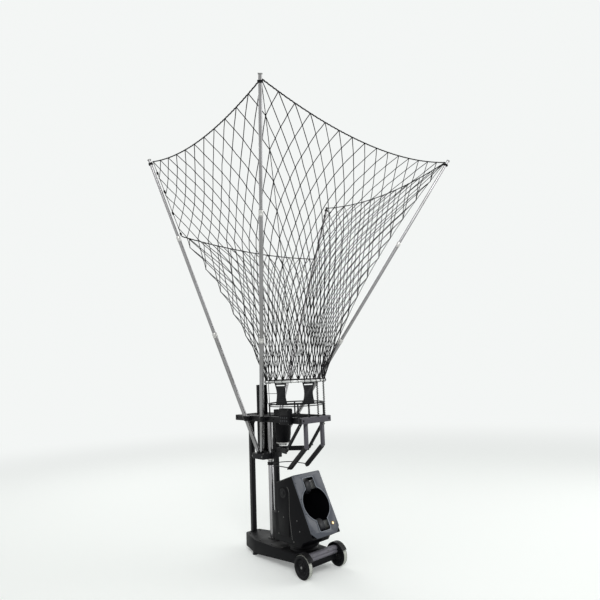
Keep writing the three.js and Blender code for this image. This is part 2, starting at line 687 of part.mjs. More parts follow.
// Springs from the net ring, and from the front plate, down to the frame
function buildSprings(parent) {
  const stand = frame.top + seat;
  const ringUnderside = ringHeight.upper - upperRing.tube - seat;
  const plateUnderside = ringHeight.lower - lowerRing.tube - seat;
  const plateRadius = lowerRing.radius + lowerRing.tube + seat + ringPlate.thickness / 2;
  const places = [
    ['spring_side', springAngles.side, upperRing.radius, ringUnderside, spring.pitch],
    ['spring_front', springAngles.front, upperRing.radius, ringUnderside, spring.pitch],
    ['spring_plate', plateAngles.front, plateRadius, plateUnderside, spring.shortPitch],
  ];
  for (const [name, degrees, radius, top, pitch] of places) {
    const angle = THREE.MathUtils.degToRad(degrees);
    const mesh = add(parent, name, coil(top - stand, pitch), blackPaint);
    mesh.position.set(radius * Math.cos(angle), ringCentre + radius * Math.sin(angle), stand);
    mesh.rotation.z = angle + Math.PI;
  }
}

// A housing whose long edges are bevelled within its own outline
function casing(shape, depth, bevel) {
  return new THREE.ExtrudeGeometry(stepped(shape, cornerSteps), {
    depth: depth - bevel * 2, bevelEnabled: true, bevelThickness: bevel, bevelSize: bevel,
    bevelOffset: -bevel, bevelSegments: cornerSteps,
  }).translate(0, 0, bevel);
}

// Control box and its socket, on the outer face of the left side beam
function buildControls(parent) {
  const outer = frame.halfWidth + seat + box.depth;
  const face = roundedRectangle(box.front, box.rear, box.bottom, box.top, box.corner);
  const body = casing(face, box.depth, box.bevel).applyMatrix4(alongX).translate(-outer, 0, 0);
  const plug = roundedRectangle(box.rear - box.corner, socket.rear, socket.bottom, socket.top, socket.corner);
  const from = -outer + socket.inset;
  add(parent, 'control_box', join(body, extrudeX(plug, from, from + socket.depth)), blackPaint);
}

// The four poles: foot, direction and the lengths of their sections along the pole
function poles() {
  const all = [];
  for (const [end, footY, tipY, low, high] of [
    ['front', poleFoot.frontY, poleTip.frontY, jointShare.frontLower, jointShare.frontUpper],
    ['rear', poleFoot.rearY, poleTip.rearY, jointShare.rearLower, jointShare.rearUpper],
  ]) {
    for (const [word, side] of [['left', -1], ['right', 1]]) {
      const foot = new THREE.Vector3(side * poleFoot.x, footY, poleFoot.height);
      const tip = new THREE.Vector3(side * poleTip.x, tipY, poleTip.height);
      const length = tip.distanceTo(foot);
      all.push({
        name: `${end}_${word}`, side, foot, tip, length,
        direction: tip.clone().sub(foot).normalize(),
        lower: low * length,
        middle: high * length,
        upperJoint: foot.clone().lerp(tip, high),
        at: (height) => foot.clone().lerp(tip, (height - poleFoot.height) / (tip.z - poleFoot.height)),
      });
    }
  }
  return all;
}

// A tube whose upper end carries the joint collar
function collaredTube(outer, start, end) {
  const bore = outer - tube.wall;
  const proud = outer + poleCollar.proud;
  const low = end - poleCollar.length;
  return turned([
    [bore, start], [outer, start], [outer, low], [proud, low + poleCollar.chamfer],
    [proud, end - poleCollar.chamfer], [outer, end], [bore, end], [bore, start],
  ], slimSides);
}

function cappedTube(outer, start, end) {
  const bore = outer - tube.wall;
  const proud = outer + poleCap.proud;
  const low = end - poleCap.length;
  return turned([
    [bore, start], [outer, start], [outer, low], [proud, low], [proud, end - poleCap.chamfer],
    [proud - poleCap.chamfer, end], [0, end], [0, low], [bore, low], [bore, start],
  ], slimSides);
}

function buildPoles(parent) {
  for (const pole of poles()) {
    const group = new THREE.Group();
    group.position.copy(pole.foot);
    turnTo(group, pole.direction);
    parent.add(group);
    add(group, `pole_lower_${pole.name}`, collaredTube(tube.lower, 0, pole.lower), chrome);
    add(group, `pole_middle_${pole.name}`,
      collaredTube(tube.middle, pole.lower - tube.overlap, pole.middle), chrome);
    add(group, `pole_upper_${pole.name}`,
      cappedTube(tube.upper, pole.middle - tube.overlap, pole.length), chrome);
  }
}

// A clamp round the pole, welded to the outer face of the side beam
function clampSolid(pole) {
  const level = frame.top - frame.height / 2;
  const centre = pole.at(level);
  const slant = new THREE.Quaternion().setFromUnitVectors(Z, pole.direction);
  const sleeve = (radius, half) => disc(radius, -half, half, slimSides).applyQuaternion(slant)
    .translate(centre.x, centre.y, centre.z);
  const bore = tube.lower + poleClamp.ease;
  const outer = bore + poleClamp.wall;
  const face = frame.halfWidth - frame.wall / 2;
  const reach = Math.abs(centre.x) + frame.height;
  const [x0, x1] = pole.side > 0 ? [face, reach] : [-reach, -face];
  const low = level - poleClamp.height / 2;
  const high = level + poleClamp.height / 2;
  const slab = block(x0, x1, centre.y - frame.height, centre.y + frame.height, low, high);
  const [a0, a1] = pole.side > 0 ? [face, centre.x] : [centre.x, -face];
  const arm = block(a0, a1, centre.y - poleClamp.halfLength, centre.y + poleClamp.halfLength, low, high);
  const around = common(sleeve(outer, poleClamp.height), slab);
  return cut(join(arm, around), sleeve(bore, poleClamp.height + overrun));
}

// Shooting head
const leanAngle = THREE.MathUtils.degToRad(head.lean);

// A place on the side view of the leaning panel: s up its slope, depth behind its front face
function onPanel(s, depth) {
  return [
    head.outletY + s * Math.sin(leanAngle) + depth * Math.cos(leanAngle),
    head.outletHeight + s * Math.cos(leanAngle) - depth * Math.sin(leanAngle),
  ];
}

function shellSolid() {
  const half = head.slope / 2;
  const back = panel.thickness + seat;
  const side = outline([
    onPanel(-half, back), [head.lipY, head.lipHeight], [head.frontBottomY, head.bottom],
    [head.boxRear, head.bottom], [head.boxRear, head.boxTop], [head.backY, head.backHeight],
    [head.topRearY, head.topRearHeight], onPanel(half, back),
  ]);
  const body = casing(side, head.halfWidth * 2, head.bevel).applyMatrix4(alongX)
    .translate(-head.halfWidth, 0, 0);
  const frontY = onPanel(-half, back)[0] - overrun;
  const plan = outline([
    [-head.halfWidth, frontY], [head.halfWidth, frontY], [head.halfWidth, head.backY],
    [head.boxHalfWidth, head.boxRear], [-head.boxHalfWidth, head.boxRear], [-head.halfWidth, head.backY],
  ]);
  const above = head.outletHeight + head.slope;
  const tapered = common(body, extrudeZ(plan, 0, above));
  const room = outline([
    onPanel(-half * mouthShare, -overrun), onPanel(-half * mouthShare, back),
    [headHollow.toe, headHollow.floor], [head.backY - head.wall, headHollow.floor],
    [head.topRearY - head.wall, head.topRearHeight - head.wall * 2],
    onPanel(half * mouthShare, back), onPanel(half * mouthShare, -overrun),
  ]);
  const hollow = extrudeX(room, -head.halfWidth + head.wall, head.halfWidth - head.wall);
  const inlet = block(-headInlet.halfWidth, headInlet.halfWidth, headInlet.front, headInlet.rear,
    head.outletHeight, above);
  return cut(tapered, hollow, inlet);
}

// The outlet: a circle with a square pocket above and below, all grown by the same amount
function outletPath(shape, grow) {
  const radius = outlet.radius + grow;
  const half = outlet.pocketWidth / 2 + grow;
  const reach = outlet.pocketReach + grow;
  const meet = Math.acos(half / radius);
  const bend = outlet.pocketCorner;
  shape.moveTo(half, radius * Math.sin(meet));
  shape.lineTo(half, reach - bend);
  shape.absarc(half - bend, reach - bend, bend, 0, Math.PI / 2);
  shape.lineTo(-half + bend, reach);
  shape.absarc(-half + bend, reach - bend, bend, Math.PI / 2, Math.PI);
  shape.lineTo(-half, radius * Math.sin(meet));
  shape.absarc(0, 0, radius, Math.PI - meet, Math.PI + meet);
  shape.lineTo(-half, -reach + bend);
  shape.absarc(-half + bend, -reach + bend, bend, Math.PI, Math.PI * 1.5);
  shape.lineTo(half - bend, -reach);
  shape.absarc(half - bend, -reach + bend, bend, Math.PI * 1.5, Math.PI * 2);
  shape.lineTo(half, -radius * Math.sin(meet));
  shape.absarc(0, 0, radius, -meet, meet);
  return shape;
}

function panelSolid() {
  const half = head.slope / 2;
  const side = head.halfWidth;
  const shape = new THREE.Shape();
  shape.moveTo(-side + panel.chamfer, -half);
  shape.lineTo(side - panel.chamfer, -half);
  shape.lineTo(side, -half + panel.chamfer);
  shape.lineTo(side, half - panel.corner);
  shape.quadraticCurveTo(side, half, side - panel.corner, half);
  shape.lineTo(-side + panel.corner, half);
  shape.quadraticCurveTo(-side, half, -side, half - panel.corner);
  shape.lineTo(-side, -half + panel.chamfer);
  shape.holes.push(outletPath(new THREE.Path(), 0));
  return extrude(shape, panel.thickness, arcSteps).translate(0, 0, -panel.thickness);
}

function rimSolid() {
  const shape = outletPath(new THREE.Shape(), rim.width);
  shape.holes.push(outletPath(new THREE.Path(), seat));
  return extrude(shape, rim.proud, arcSteps).translate(0, 0, seat);
}

// A shooting wheel with a hollowed tread and its shaft stub
function shooterSolid() {
  const half = shooter.width / 2;
  const edge = shooter.edge;
  return turned([
    [0, -half], [shooter.radius - edge, -half], [shooter.radius, -half + edge],
    [shooter.radius - shooter.groove, 0], [shooter.radius, half - edge], [shooter.radius - edge, half],
    [shooter.hubRadius, half], [shooter.shaftRadius, half + edge],
    [shooter.shaftRadius, half + motor.gap - seat], [0, half + motor.gap - seat],
  ]).applyMatrix4(alongX);
}

function motorSolid() {
  const start = shooter.width / 2 + motor.gap;
  const end = head.halfWidth - head.wall - seat;
  return turned([
    [0, start], [motor.bellRadius, start], [motor.radius, start + motor.bellLength],
    [motor.radius, end], [0, end],
  ]).applyMatrix4(alongX);
}

function buildHead(parent) {
  const fixed = turned([
    [0, tray.top + seat], [turntable.radius, tray.top + seat],
    [turntable.radius, turntable.split - turntable.lip],
    [turntable.grooveRadius, turntable.split - seat], [0, turntable.split - seat],
  ]);
  add(parent, 'turntable_base', fixed, zinc).position.y = head.swivelY;

  const swivel = new THREE.Group();
  swivel.position.y = head.swivelY;
  parent.add(swivel);
  const plateTop = head.bottom - seat;
  add(swivel, 'turntable_plate', turned([
    [0, turntable.split], [turntable.grooveRadius, turntable.split],
    [turntable.plateRadius, turntable.split + turntable.lip], [turntable.plateRadius, plateTop],
    [0, plateTop],
  ]), blackPaint);
  add(swivel, 'head_shell', shellSolid(), shellBlack).position.y = -head.swivelY;

  const face = new THREE.Group();
  face.position.set(0, head.outletY - head.swivelY, head.outletHeight);
  face.rotation.x = Math.PI / 2 - leanAngle;
  swivel.add(face);
  add(face, 'front_panel', panelSolid(), slate);
  add(face, 'outlet_rim', rimSolid(), zinc);
  for (const [word, side] of [['upper', 1], ['lower', -1]]) {
    const spun = new THREE.Group();
    spun.position.set(0, side * shooter.offset, -shooter.behind);
    face.add(spun);
    add(spun, `shooting_wheel_${word}`, shooterSolid(), wheelGrey);
    add(spun, `shooting_motor_${word}`, motorSolid(), zinc);
  }
  add(face, 'lamp', turned([
    [0, seat], [lamp.radius, seat], [lamp.radius, lamp.proud - lamp.lensDepth / 2],
    [lamp.lensRadius, lamp.proud],
    [0, lamp.proud + lamp.lensDepth],
  ], slimSides), lampWarm).position.set(lamp.x, lamp.s, 0);
}

// Net: one diamond mesh from the net ring to the ropes between the pole tips
function netSurface() {
  const inset = (place) => {
    const inward = new THREE.Vector3(-place.x, ringCentre - place.y, 0).normalize();
    return place.clone().addScaledVector(inward, net.tipInset);
  };
  const byName = Object.fromEntries(poles().map((pole) => [pole.name, pole]));
  const foot = ringHeight.upper + upperRing.tube + seat + net.cord * Math.SQRT1_2;
  const ringPoint = (angle) => new THREE.Vector3(
    upperRing.radius * Math.cos(angle), ringCentre + upperRing.radius * Math.sin(angle), foot,
  );
  const corner = (name, angle, rear) => {
    const base = ringPoint(angle);
    const top = inset(byName[name].tip.clone().setZ(poleTip.height - net.tipInset / 2));
    const knee = inset(byName[name].upperJoint);
    const share = netRearRows / netRows;
    return (v) => {
      if (!rear) return base.clone().lerp(top, v);
      if (v < share) return base.clone().lerp(knee, v / share);
      return knee.clone().lerp(top, (v - share) / (1 - share));
    };
  };
  const quarter = Math.PI / 2;
  const first = quarter * 1.5;
  const corners = [
    corner('rear_left', first, true), corner('front_left', first + quarter, false),
    corner('front_right', first + quarter * 2, false), corner('rear_right', first + quarter * 3, true),
  ];
  return (column, row) => {
    const around = ((column % (netColumns * 4)) + netColumns * 4) % (netColumns * 4);
    const side = Math.floor(around / netColumns);
    const across = around / netColumns - side;
    const v = row / netRows;
    const top = side === 3 ? netRearRows / netRows : 1;
    const [startEdge, endEdge] = [corners[side], corners[(side + 1) % 4]];
    const rimSag = side === 3 ? net.rearSag : net.rimSag;
    const arch = 4 * across * (1 - across);
    const rim = startEdge(top).lerp(endEdge(top), across);
    rim.z -= rimSag * arch;
    const base = ringPoint(first + quarter * (side + across));
    const rise = Math.min(v / top, 1);
    const point = base.clone().lerp(rim, rise);
    const bend = (edge) => edge(v).sub(edge(0).lerp(edge(top), rise));
    point.addScaledVector(bend(startEdge), 1 - across);
    point.addScaledVector(bend(endEdge), across);
    const draw = new THREE.Vector3(-point.x, ringCentre - point.y, 0).normalize();
    return point.addScaledVector(draw, net.wallDraw * arch * 4 * rise * (1 - rise));
  };
}

// Knots where column and row add up to an even number; strands run to the next row on both sides
function netGraph() {
  const total = netColumns * 4;
  const rearFrom = netColumns * 3;
  const rows = (column) => (column > rearFrom ? netRearRows : netRows);
  const knots = new Map();
  const key = (column, row) => `${column % total},${row}`;
  for (let column = 0; column < total; column += 1) {
    for (let row = column % 2; row <= rows(column); row += 2) {
      knots.set(key(column, row), { column, row, ends: [] });
    }
  }
  const strands = [];
  const tie = (columnA, rowA, columnB, rowB) => {
    const [a, b] = [knots.get(key(columnA, rowA)), knots.get(key(columnB, rowB))];
    if (a && b) strands.push([a, b, columnB - columnA, rowB - rowA]);
  };
  for (const { column, row } of [...knots.values()]) {
    tie(column, row, column + 1, row + 1);
    tie(column, row, column + total - 1, row + 1);
    if (row === 0 || (row === netRows && column < rearFrom)) tie(column, row, column + 2, row);
    if (row === netRearRows && column >= rearFrom) tie(column, row, column + 2, row);
    const edge = column === 0 || column === rearFrom;
    if (edge && row >= netRearRows && row < netRows) tie(column, row, column, row + 2);
  }
  return { knots: [...knots.values()], strands };
}

function netSolid() {
  const surface = netSurface();
  const { knots, strands } = netGraph();
  for (const knot of knots) {
    knot.place = surface(knot.column, knot.row);
    const next = surface(knot.column + netNudge, knot.row);
    const before = surface(knot.column - netNudge, knot.row);
    const up = surface(knot.column, Math.min(knot.row + netNudge, netRows));
    const down = surface(knot.column, Math.max(knot.row - netNudge, 0));
    knot.across = next.sub(before).normalize();
    knot.normal = knot.across.clone().cross(up.sub(down)).normalize().negate();
  }
  for (const strand of strands) {
    const [a, b] = strand;
    a.ends.push({ strand, other: b });
    b.ends.push({ strand, other: a });
  }
  const positions = [];
  const faces = [];
  const half = net.cord / 2;
  for (const knot of knots) {
    const side = knot.normal.clone().cross(knot.across).normalize();
    for (const end of knot.ends) {
      const way = end.other.place.clone().sub(knot.place);
      end.angle = Math.atan2(way.dot(side), way.dot(knot.across));
    }
    knot.ends.sort((p, q) => p.angle - q.angle);
    const flat = side.clone().cross(knot.normal);
    const count = knot.ends.length;
    knot.ends.forEach((end, i) => {
      const next = knot.ends[(i + 1) % count];
      const opening = (next.angle - end.angle + Math.PI * 2) % (Math.PI * 2) / 2;
      const reach = half / Math.max(Math.sin(opening), sharpestShare);
      const angle = end.angle + opening;
      const spot = knot.place.clone()
        .addScaledVector(flat, reach * Math.cos(angle)).addScaledVector(side, reach * Math.sin(angle));
      end.top = positions.length / 3;
      positions.push(...spot.clone().addScaledVector(knot.normal, half).toArray());
      positions.push(...spot.addScaledVector(knot.normal, -half).toArray());
    });
    for (let i = 1; i + 1 < count; i += 1) {
      const [p, q, r] = [knot.ends[0].top, knot.ends[i].top, knot.ends[i + 1].top];
      faces.push([p, q, r], [r + 1, q + 1, p + 1]);
    }
  }
  const quad = (p, q, r, s) => faces.push([p, q, r], [p, r, s]);
  for (const strand of strands) {
    const [near, far] = [strand[0], strand[1]].map((knot) => {
      const i = knot.ends.findIndex((end) => end.strand === strand);
      const right = knot.ends[(i + knot.ends.length - 1) % knot.ends.length].top;
      return { left: knot.ends[i].top, right };
    });
    quad(near.right, far.left, far.right, near.left);
    quad(near.left + 1, far.right + 1, far.left + 1, near.right + 1);
    quad(near.right + 1, far.left + 1, far.left, near.right);
    quad(near.left, far.right, far.right + 1, near.left + 1);
  }
  const geometry = new THREE.BufferGeometry();
  geometry.setAttribute('position', new THREE.Float32BufferAttribute(positions, 3));
  geometry.setIndex(faces.flat());
  geometry.computeVertexNormals();
  return geometry;
}

buildBase(machine);
buildFrame(machine);
buildHub(machine);
buildFeeder(machine);
buildChute(machine);
buildRings(machine);
buildSprings(machine);
buildControls(machine);
buildPoles(machine);
buildHead(machine);
add(machine, 'net', netSolid(), cord);

// The whole machine stands centred on its own footprint
const extent = new THREE.Box3().setFromObject(machine, true);
machine.position.y = -(extent.min.y + extent.max.y) / 2;
const part = new THREE.Group();
part.add(machine);

export default part;
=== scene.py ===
"""Looks of the basketball shooting machine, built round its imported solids.

Every size is in the machine's own millimetres, with Y from the wheel axle and Z from the
floor, as the solids are drawn. `spot` turns such a place into metres in the shared frame.
"""

import logging
import math
from collections.abc import Iterable, Sequence
from dataclasses import dataclass, field
from enum import Enum

import bmesh
import bpy
from mathutils import Matrix, Vector


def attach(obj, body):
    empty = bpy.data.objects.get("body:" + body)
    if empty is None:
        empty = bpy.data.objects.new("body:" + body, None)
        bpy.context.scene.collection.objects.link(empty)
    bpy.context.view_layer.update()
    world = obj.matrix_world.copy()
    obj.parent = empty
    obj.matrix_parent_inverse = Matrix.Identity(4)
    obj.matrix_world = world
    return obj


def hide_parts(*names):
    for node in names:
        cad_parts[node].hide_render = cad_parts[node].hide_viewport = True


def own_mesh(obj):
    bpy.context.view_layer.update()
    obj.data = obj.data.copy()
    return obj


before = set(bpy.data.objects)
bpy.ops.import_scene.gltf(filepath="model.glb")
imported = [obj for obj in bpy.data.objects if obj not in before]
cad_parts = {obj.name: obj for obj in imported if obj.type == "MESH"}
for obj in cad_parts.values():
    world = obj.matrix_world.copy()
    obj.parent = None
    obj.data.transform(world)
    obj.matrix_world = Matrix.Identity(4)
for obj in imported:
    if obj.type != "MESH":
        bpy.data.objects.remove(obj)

log = logging.getLogger("shooting_machine")

Mesh, Tree = bpy.types.Mesh, bpy.types.NodeTree
Socket, Sockets = bpy.types.NodeSocket, bpy.types.bpy_prop_collection

MM = 0.001
ON_AXIS = 1e-6
SHIFT_Y = -61.371
UP = Vector((0.0, 0.0, 1.0))
ALONG_X = Vector((1.0, 0.0, 0.0))
ALONG_Y = Vector((0.0, 1.0, 0.0))
FIXED = "machine_frame"
SIDES = (("left", -1), ("right", 1))

# Sizes that several parts share: the gap between neighbours, the tray's deck, the frame's top
# and the net ring.
GAP = 0.3
DECK_TOP = 140.0
FRAME_TOP = 1223.0
RING_Y = 235.0
RING_RADIUS = 258.5
RING_HEIGHT = 1521.5


def spot(x: float, y: float, z: float) -> Vector:
    """A place in the machine's millimetres, as metres in the shared frame."""
    return Vector((x, y + SHIFT_Y, z)) * MM


def heading(angle: float) -> Vector:
    """The level direction at an angle in radians from X."""
    return Vector((math.cos(angle), math.sin(angle), 0.0))


def leftward(way: Vector) -> Vector:
    """A level direction turned a quarter to its left."""
    return Vector((-way.y, way.x, 0.0))


def show(thing: bpy.types.Object) -> bpy.types.Object:
    """Links an object to the scene."""
    bpy.context.scene.collection.objects.link(thing)
    return thing


def paint(code: str) -> tuple[float, float, float, float]:
    """A colour written as six hex digits, as the linear numbers that a shader takes.

    Args:
        code: the colour, such as #0c0c0f, in sRGB.

    Returns:
        Red, green, blue and a full alpha.
    """
    parts = [int(code[i : i + 2], 16) / 255 for i in (1, 3, 5)]
    linear = [p / 12.92 if p <= 0.04045 else ((p + 0.055) / 1.055) ** 2.4 for p in parts]
    return (*linear, 1.0)


class Nodes:
    """Builds a node tree step by step, for shaders and for geometry alike."""

    def __init__(self, tree: Tree) -> None:
        """Takes the tree to build in."""
        self.tree = tree

    def add(self, kind: str, values: dict | None = None, **settings: object) -> bpy.types.Node:
        """Adds a node.

        Args:
            kind: Blender's name for the type of node.
            values: what its input sockets hold; a socket is linked instead.
            settings: the node's own properties.

        Returns:
            The node.
        """
        node = self.tree.nodes.new(kind)
        for name, value in settings.items():
            setattr(node, name, value)
        self.fill(node, values or {})
        return node

    def out(self, kind: str, values: dict | None = None, **settings: object) -> Socket:
        """Adds a node and gives its first output."""
        return self.add(kind, values, **settings).outputs[0]

    def fill(self, node: bpy.types.Node, values: dict) -> None:
        """Sets or links a node's inputs.

        Args:
            node: the node.
            values: the numbers, or the sockets to link, by the input's name or place.
        """
        for name, value in values.items():
            if isinstance(value, Socket):
                self.link(value, node.inputs[name])
            else:
                node.inputs[name].default_value = value

    def join(self, *shapes: Socket) -> Socket:
        """Joins pieces of geometry.

        Args:
            shapes: the pieces.

        Returns:
            All of them as one.
        """
        both = self.add("GeometryNodeJoinGeometry")
        for shape in shapes:
            self.link(shape, both.inputs[0])
        return both.outputs[0]

    def link(self, start: Socket, end: Socket) -> None:
        """Joins an output to an input."""
        self.tree.links.new(start, end)

    def maths(
        self, operation: str, first: Socket | float, second: Socket | float, clamp: bool = False
    ) -> Socket:
        """A sum on numbers or sockets, as the socket that gives its answer."""
        return self.out(
            "ShaderNodeMath", {0: first, 1: second}, operation=operation, use_clamp=clamp
        )


def new_group(
    name: str, kind: str, inputs: dict[str, tuple], outputs: dict[str, str]
) -> tuple[Nodes, Sockets, Sockets]:
    """Makes a node group with named sockets.

    Args:
        name: the group's name.
        kind: the type of tree.
        inputs: socket type and default value by name.
        outputs: socket type by name.

    Returns:
        The group's node builder, what it is given, and what it puts out, both by name.
    """
    group = bpy.data.node_groups.new(name, kind)
    for label, (socket_type, default) in inputs.items():
        made = group.interface.new_socket(name=label, in_out="INPUT", socket_type=socket_type)
        if default is not None:
            made.default_value = default
    for label, socket_type in outputs.items():
        group.interface.new_socket(name=label, in_out="OUTPUT", socket_type=socket_type)
    nodes = Nodes(group)
    return nodes, nodes.add("NodeGroupInput").outputs, nodes.add("NodeGroupOutput").inputs


FLOAT, COLOUR, VECTOR = "NodeSocketFloat", "NodeSocketColor", "NodeSocketVector"
GREY = (0.5, 0.5, 0.5, 1.0)
DUST_COLOUR = "#8d8a84"
DULLING = 0.3


class ShaderGroups:
    """The effects that several finishes share, each built once."""

    def __init__(self) -> None:
        """Builds the three groups."""
        self.grain = self._grain()
        self.weathering = self._weathering()
        self.dust = self._dust()

    def _grain(self) -> Tree:
        """Fine relief that may be drawn out along one direction.

        Returns:
            The group.
        """
        nodes, given, made = new_group(
            "Surface grain", "ShaderNodeTree",
            {
                "Vector": (VECTOR, None), "Stretch": (VECTOR, (1.0, 1.0, 1.0)),
                "Scale": (FLOAT, 300.0), "Pits": (FLOAT, 0.2),
            },
            {"Height": FLOAT},
        )
        mapped = nodes.out(
            "ShaderNodeMapping", {"Vector": given["Vector"], "Scale": given["Stretch"]}
        )
        fine = nodes.out(
            "ShaderNodeTexNoise",
            {"Vector": mapped, "Scale": given["Scale"], "Detail": 3.0, "Roughness": 0.6},
        )
        cells = nodes.out("ShaderNodeTexVoronoi", {"Vector": mapped, "Scale": given["Scale"]})
        pitted = nodes.maths("MULTIPLY", cells, given["Pits"])
        nodes.link(nodes.maths("SUBTRACT", fine, pitted), made["Height"])
        return nodes.tree

    def _weathering(self) -> Tree:
        """Ragged blotches of a second colour, and where they lie.

        Returns:
            The group.
        """
        nodes, given, made = new_group(
            "Weathered colour", "ShaderNodeTree",
            {
                "Vector": (VECTOR, None), "Colour": (COLOUR, GREY), "Worn": (COLOUR, GREY),
                "Scale": (FLOAT, 8.0), "Amount": (FLOAT, 0.3),
            },
            {"Colour": COLOUR, "Mask": FLOAT},
        )
        broad = nodes.out(
            "ShaderNodeTexNoise",
            {"Vector": given["Vector"], "Scale": given["Scale"], "Detail": 5.0, "Roughness": 0.65},
        )
        rise = nodes.out(
            "ShaderNodeMapRange", {"Value": broad, "From Min": 0.38, "From Max": 0.72}
        )
        mask = nodes.maths("MULTIPLY", rise, given["Amount"], clamp=True)
        mixed = nodes.add(
            "ShaderNodeMix", {0: mask, 6: given["Colour"], 7: given["Worn"]}, data_type="RGBA"
        )
        nodes.link(mixed.outputs[2], made["Colour"])
        nodes.link(mask, made["Mask"])
        return nodes.tree

    def _dust(self) -> Tree:
        """Where dust settles: on faces that look up, in uneven drifts.

        Returns:
            The group.
        """
        nodes, given, made = new_group(
            "Settled dust", "ShaderNodeTree", {"Vector": (VECTOR, None), "Amount": (FLOAT, 0.2)},
            {"Mask": FLOAT},
        )
        normal = nodes.add("ShaderNodeNewGeometry").outputs["Normal"]
        facing = nodes.add("ShaderNodeSeparateXYZ", {0: normal}).outputs["Z"]
        level = nodes.out(
            "ShaderNodeMapRange", {"Value": facing, "From Min": 0.5, "From Max": 1.0}
        )
        drift = nodes.out(
            "ShaderNodeTexNoise", {"Vector": given["Vector"], "Scale": 14.0, "Detail": 4.0}
        )
        both = nodes.maths("MULTIPLY", level, drift)
        nodes.link(nodes.maths("MULTIPLY", both, given["Amount"], clamp=True), made["Mask"])
        return nodes.tree


class Lay(Enum):
    """The direction in which a surface's fine marks run."""

    EVEN = (1.0, 1.0, 1.0)
    UPRIGHT = (1.0, 1.0, 0.04)
    ACROSS = (0.04, 1.0, 1.0)


@dataclass(frozen=True)
class Finish:
    """One material of the machine: its colour, gloss, grain and wear."""

    name: str
    slot: str
    colour: str
    worn: str
    roughness: float
    metallic: float = 0.0
    coat: float = 0.0
    grain: float = 500.0
    pits: float = 0.2
    relief: float = 0.15
    lay: Lay = Lay.EVEN
    blotch: float = 9.0
    wear: float = 0.35
    dust: float = 0.25
    glow: float = 0.0
    shine: float = 0.35

    def material(self, groups: ShaderGroups) -> bpy.types.Material:
        """The finish as a material, built the first time it is asked for.

        Args:
            groups: the shared shader effects.

        Returns:
            The material.
        """
        known = bpy.data.materials.get(self.name)
        if known is not None:
            return known
        made = bpy.data.materials.new(self.name)
        made.use_nodes = True
        nodes = Nodes(made.node_tree)
        shader = made.node_tree.nodes["Principled BSDF"]
        place = nodes.add("ShaderNodeTexCoord").outputs["Object"]
        worn = nodes.add(
            "ShaderNodeGroup",
            {
                "Vector": place, "Colour": paint(self.colour), "Worn": paint(self.worn),
                "Scale": self.blotch, "Amount": self.wear,
            },
            node_tree=groups.weathering,
        )
        dusty = nodes.add(
            "ShaderNodeGroup", {"Vector": place, "Amount": self.dust}, node_tree=groups.dust
        )
        tinted = nodes.add(
            "ShaderNodeMix",
            {0: dusty.outputs["Mask"], 6: worn.outputs["Colour"], 7: paint(DUST_COLOUR)},
            data_type="RGBA",
        )
        dulled = nodes.maths("MULTIPLY", worn.outputs["Mask"], DULLING)
        dulled = nodes.maths("ADD", dulled, self.roughness)
        dulled = nodes.maths("ADD", dulled, dusty.outputs["Mask"], clamp=True)
        relief = nodes.out(
            "ShaderNodeGroup",
            {"Vector": place, "Scale": self.grain, "Stretch": self.lay.value, "Pits": self.pits},
            node_tree=groups.grain,
        )
        bump = nodes.out(
            "ShaderNodeBump", {"Strength": self.relief, "Distance": MM, "Height": relief}
        )
        nodes.fill(
            shader,
            {
                "Base Color": tinted.outputs[2], "Metallic": self.metallic, "Roughness": dulled,
                "Normal": bump, "Coat Weight": self.coat, "Specular IOR Level": self.shine,
            },
        )
        # Emission; only the lens uses it, as a painted glare.
        if self.glow:
            nodes.fill(
                shader, {"Emission Color": paint(self.colour), "Emission Strength": self.glow}
            )
        return made


BLACK_PAINT = Finish(
    "black_powder_coat", "black_paint", "#0c0c0f", "#17171b", 0.38, grain=900.0, dust=0.05,
    shine=0.2,
)
# Black satin paint drawn grey: the grey is painted light from the front, used on the front beam
# and the rails.
BLACK_PAINT_PAINTED_LIT = Finish(
    "black_coat_painted_lit", "grey_paint", "#4d4b52", "#5b5960", 0.36, grain=900.0, dust=0.12
)
# A lighter copy of the grey paint: painted light for the bumper's lit top.
BUMPER_PAINTED_LIT = Finish(
    "bumper_pad", "grey_paint", "#727078", "#55535a", 0.46, grain=700.0, relief=0.2, dust=0.1
)
BLACK_ALLOY = Finish(
    "cast_alloy", "black_alloy", "#141418", "#2c2c31", 0.36, metallic=0.4, relief=0.1, dust=0.1
)
TRAY_PLASTIC = Finish(
    "tray_plastic", "tray_black", "#0b0b0e", "#151519", 0.46, grain=700.0, relief=0.25, dust=0.04,
    shine=0.12,
)
SHELL_PLASTIC = Finish(
    "shell_plastic", "shell_black", "#0a0a0d", "#111115", 0.4, grain=800.0, relief=0.2, dust=0.02,
    shine=0.1,
)
SLATE = Finish(
    "slate_sheet", "slate_panel", "#454952", "#50545d", 0.32, coat=0.2, grain=600.0, relief=0.06,
    wear=0.25, dust=0.05,
)
CHROME = Finish(
    "polished_tube", "chrome", "#a3a2a4", "#868482", 0.16, metallic=1.0, grain=260.0, relief=0.05,
    lay=Lay.UPRIGHT, blotch=5.0, wear=0.6, dust=0.05,
)
COLLAR_METAL = Finish(
    "collar_metal", "chrome", "#d2d1cf", "#b5b4b1", 0.3, metallic=0.7, relief=0.08, dust=0.05
)
STEEL = Finish(
    "brushed_steel", "zinc", "#c9cac9", "#a8a9a8", 0.32, metallic=0.85, grain=420.0, relief=0.15,
    lay=Lay.ACROSS, wear=0.5, dust=0.15,
)
RIM_METAL = Finish(
    "outlet_trim", "rim_metal", "#81868e", "#9a9ea5", 0.45, metallic=0.0, relief=0.08, dust=0.05
)
BOLT_STEEL = Finish(
    "bolt_steel", "zinc", "#8b8b8a", "#5f5e5c", 0.38, metallic=1.0, blotch=60.0, wear=0.6
)
BLACK_BOLT = Finish(
    "black_bolt", "black_paint", "#121214", "#333336", 0.36, metallic=0.3, dust=0.1
)
TREAD = Finish(
    "tread_rubber", "tyre", "#cbcdc6", "#a0a29a", 0.72, grain=420.0, relief=0.3, blotch=22.0,
    wear=0.7, dust=0.2,
)
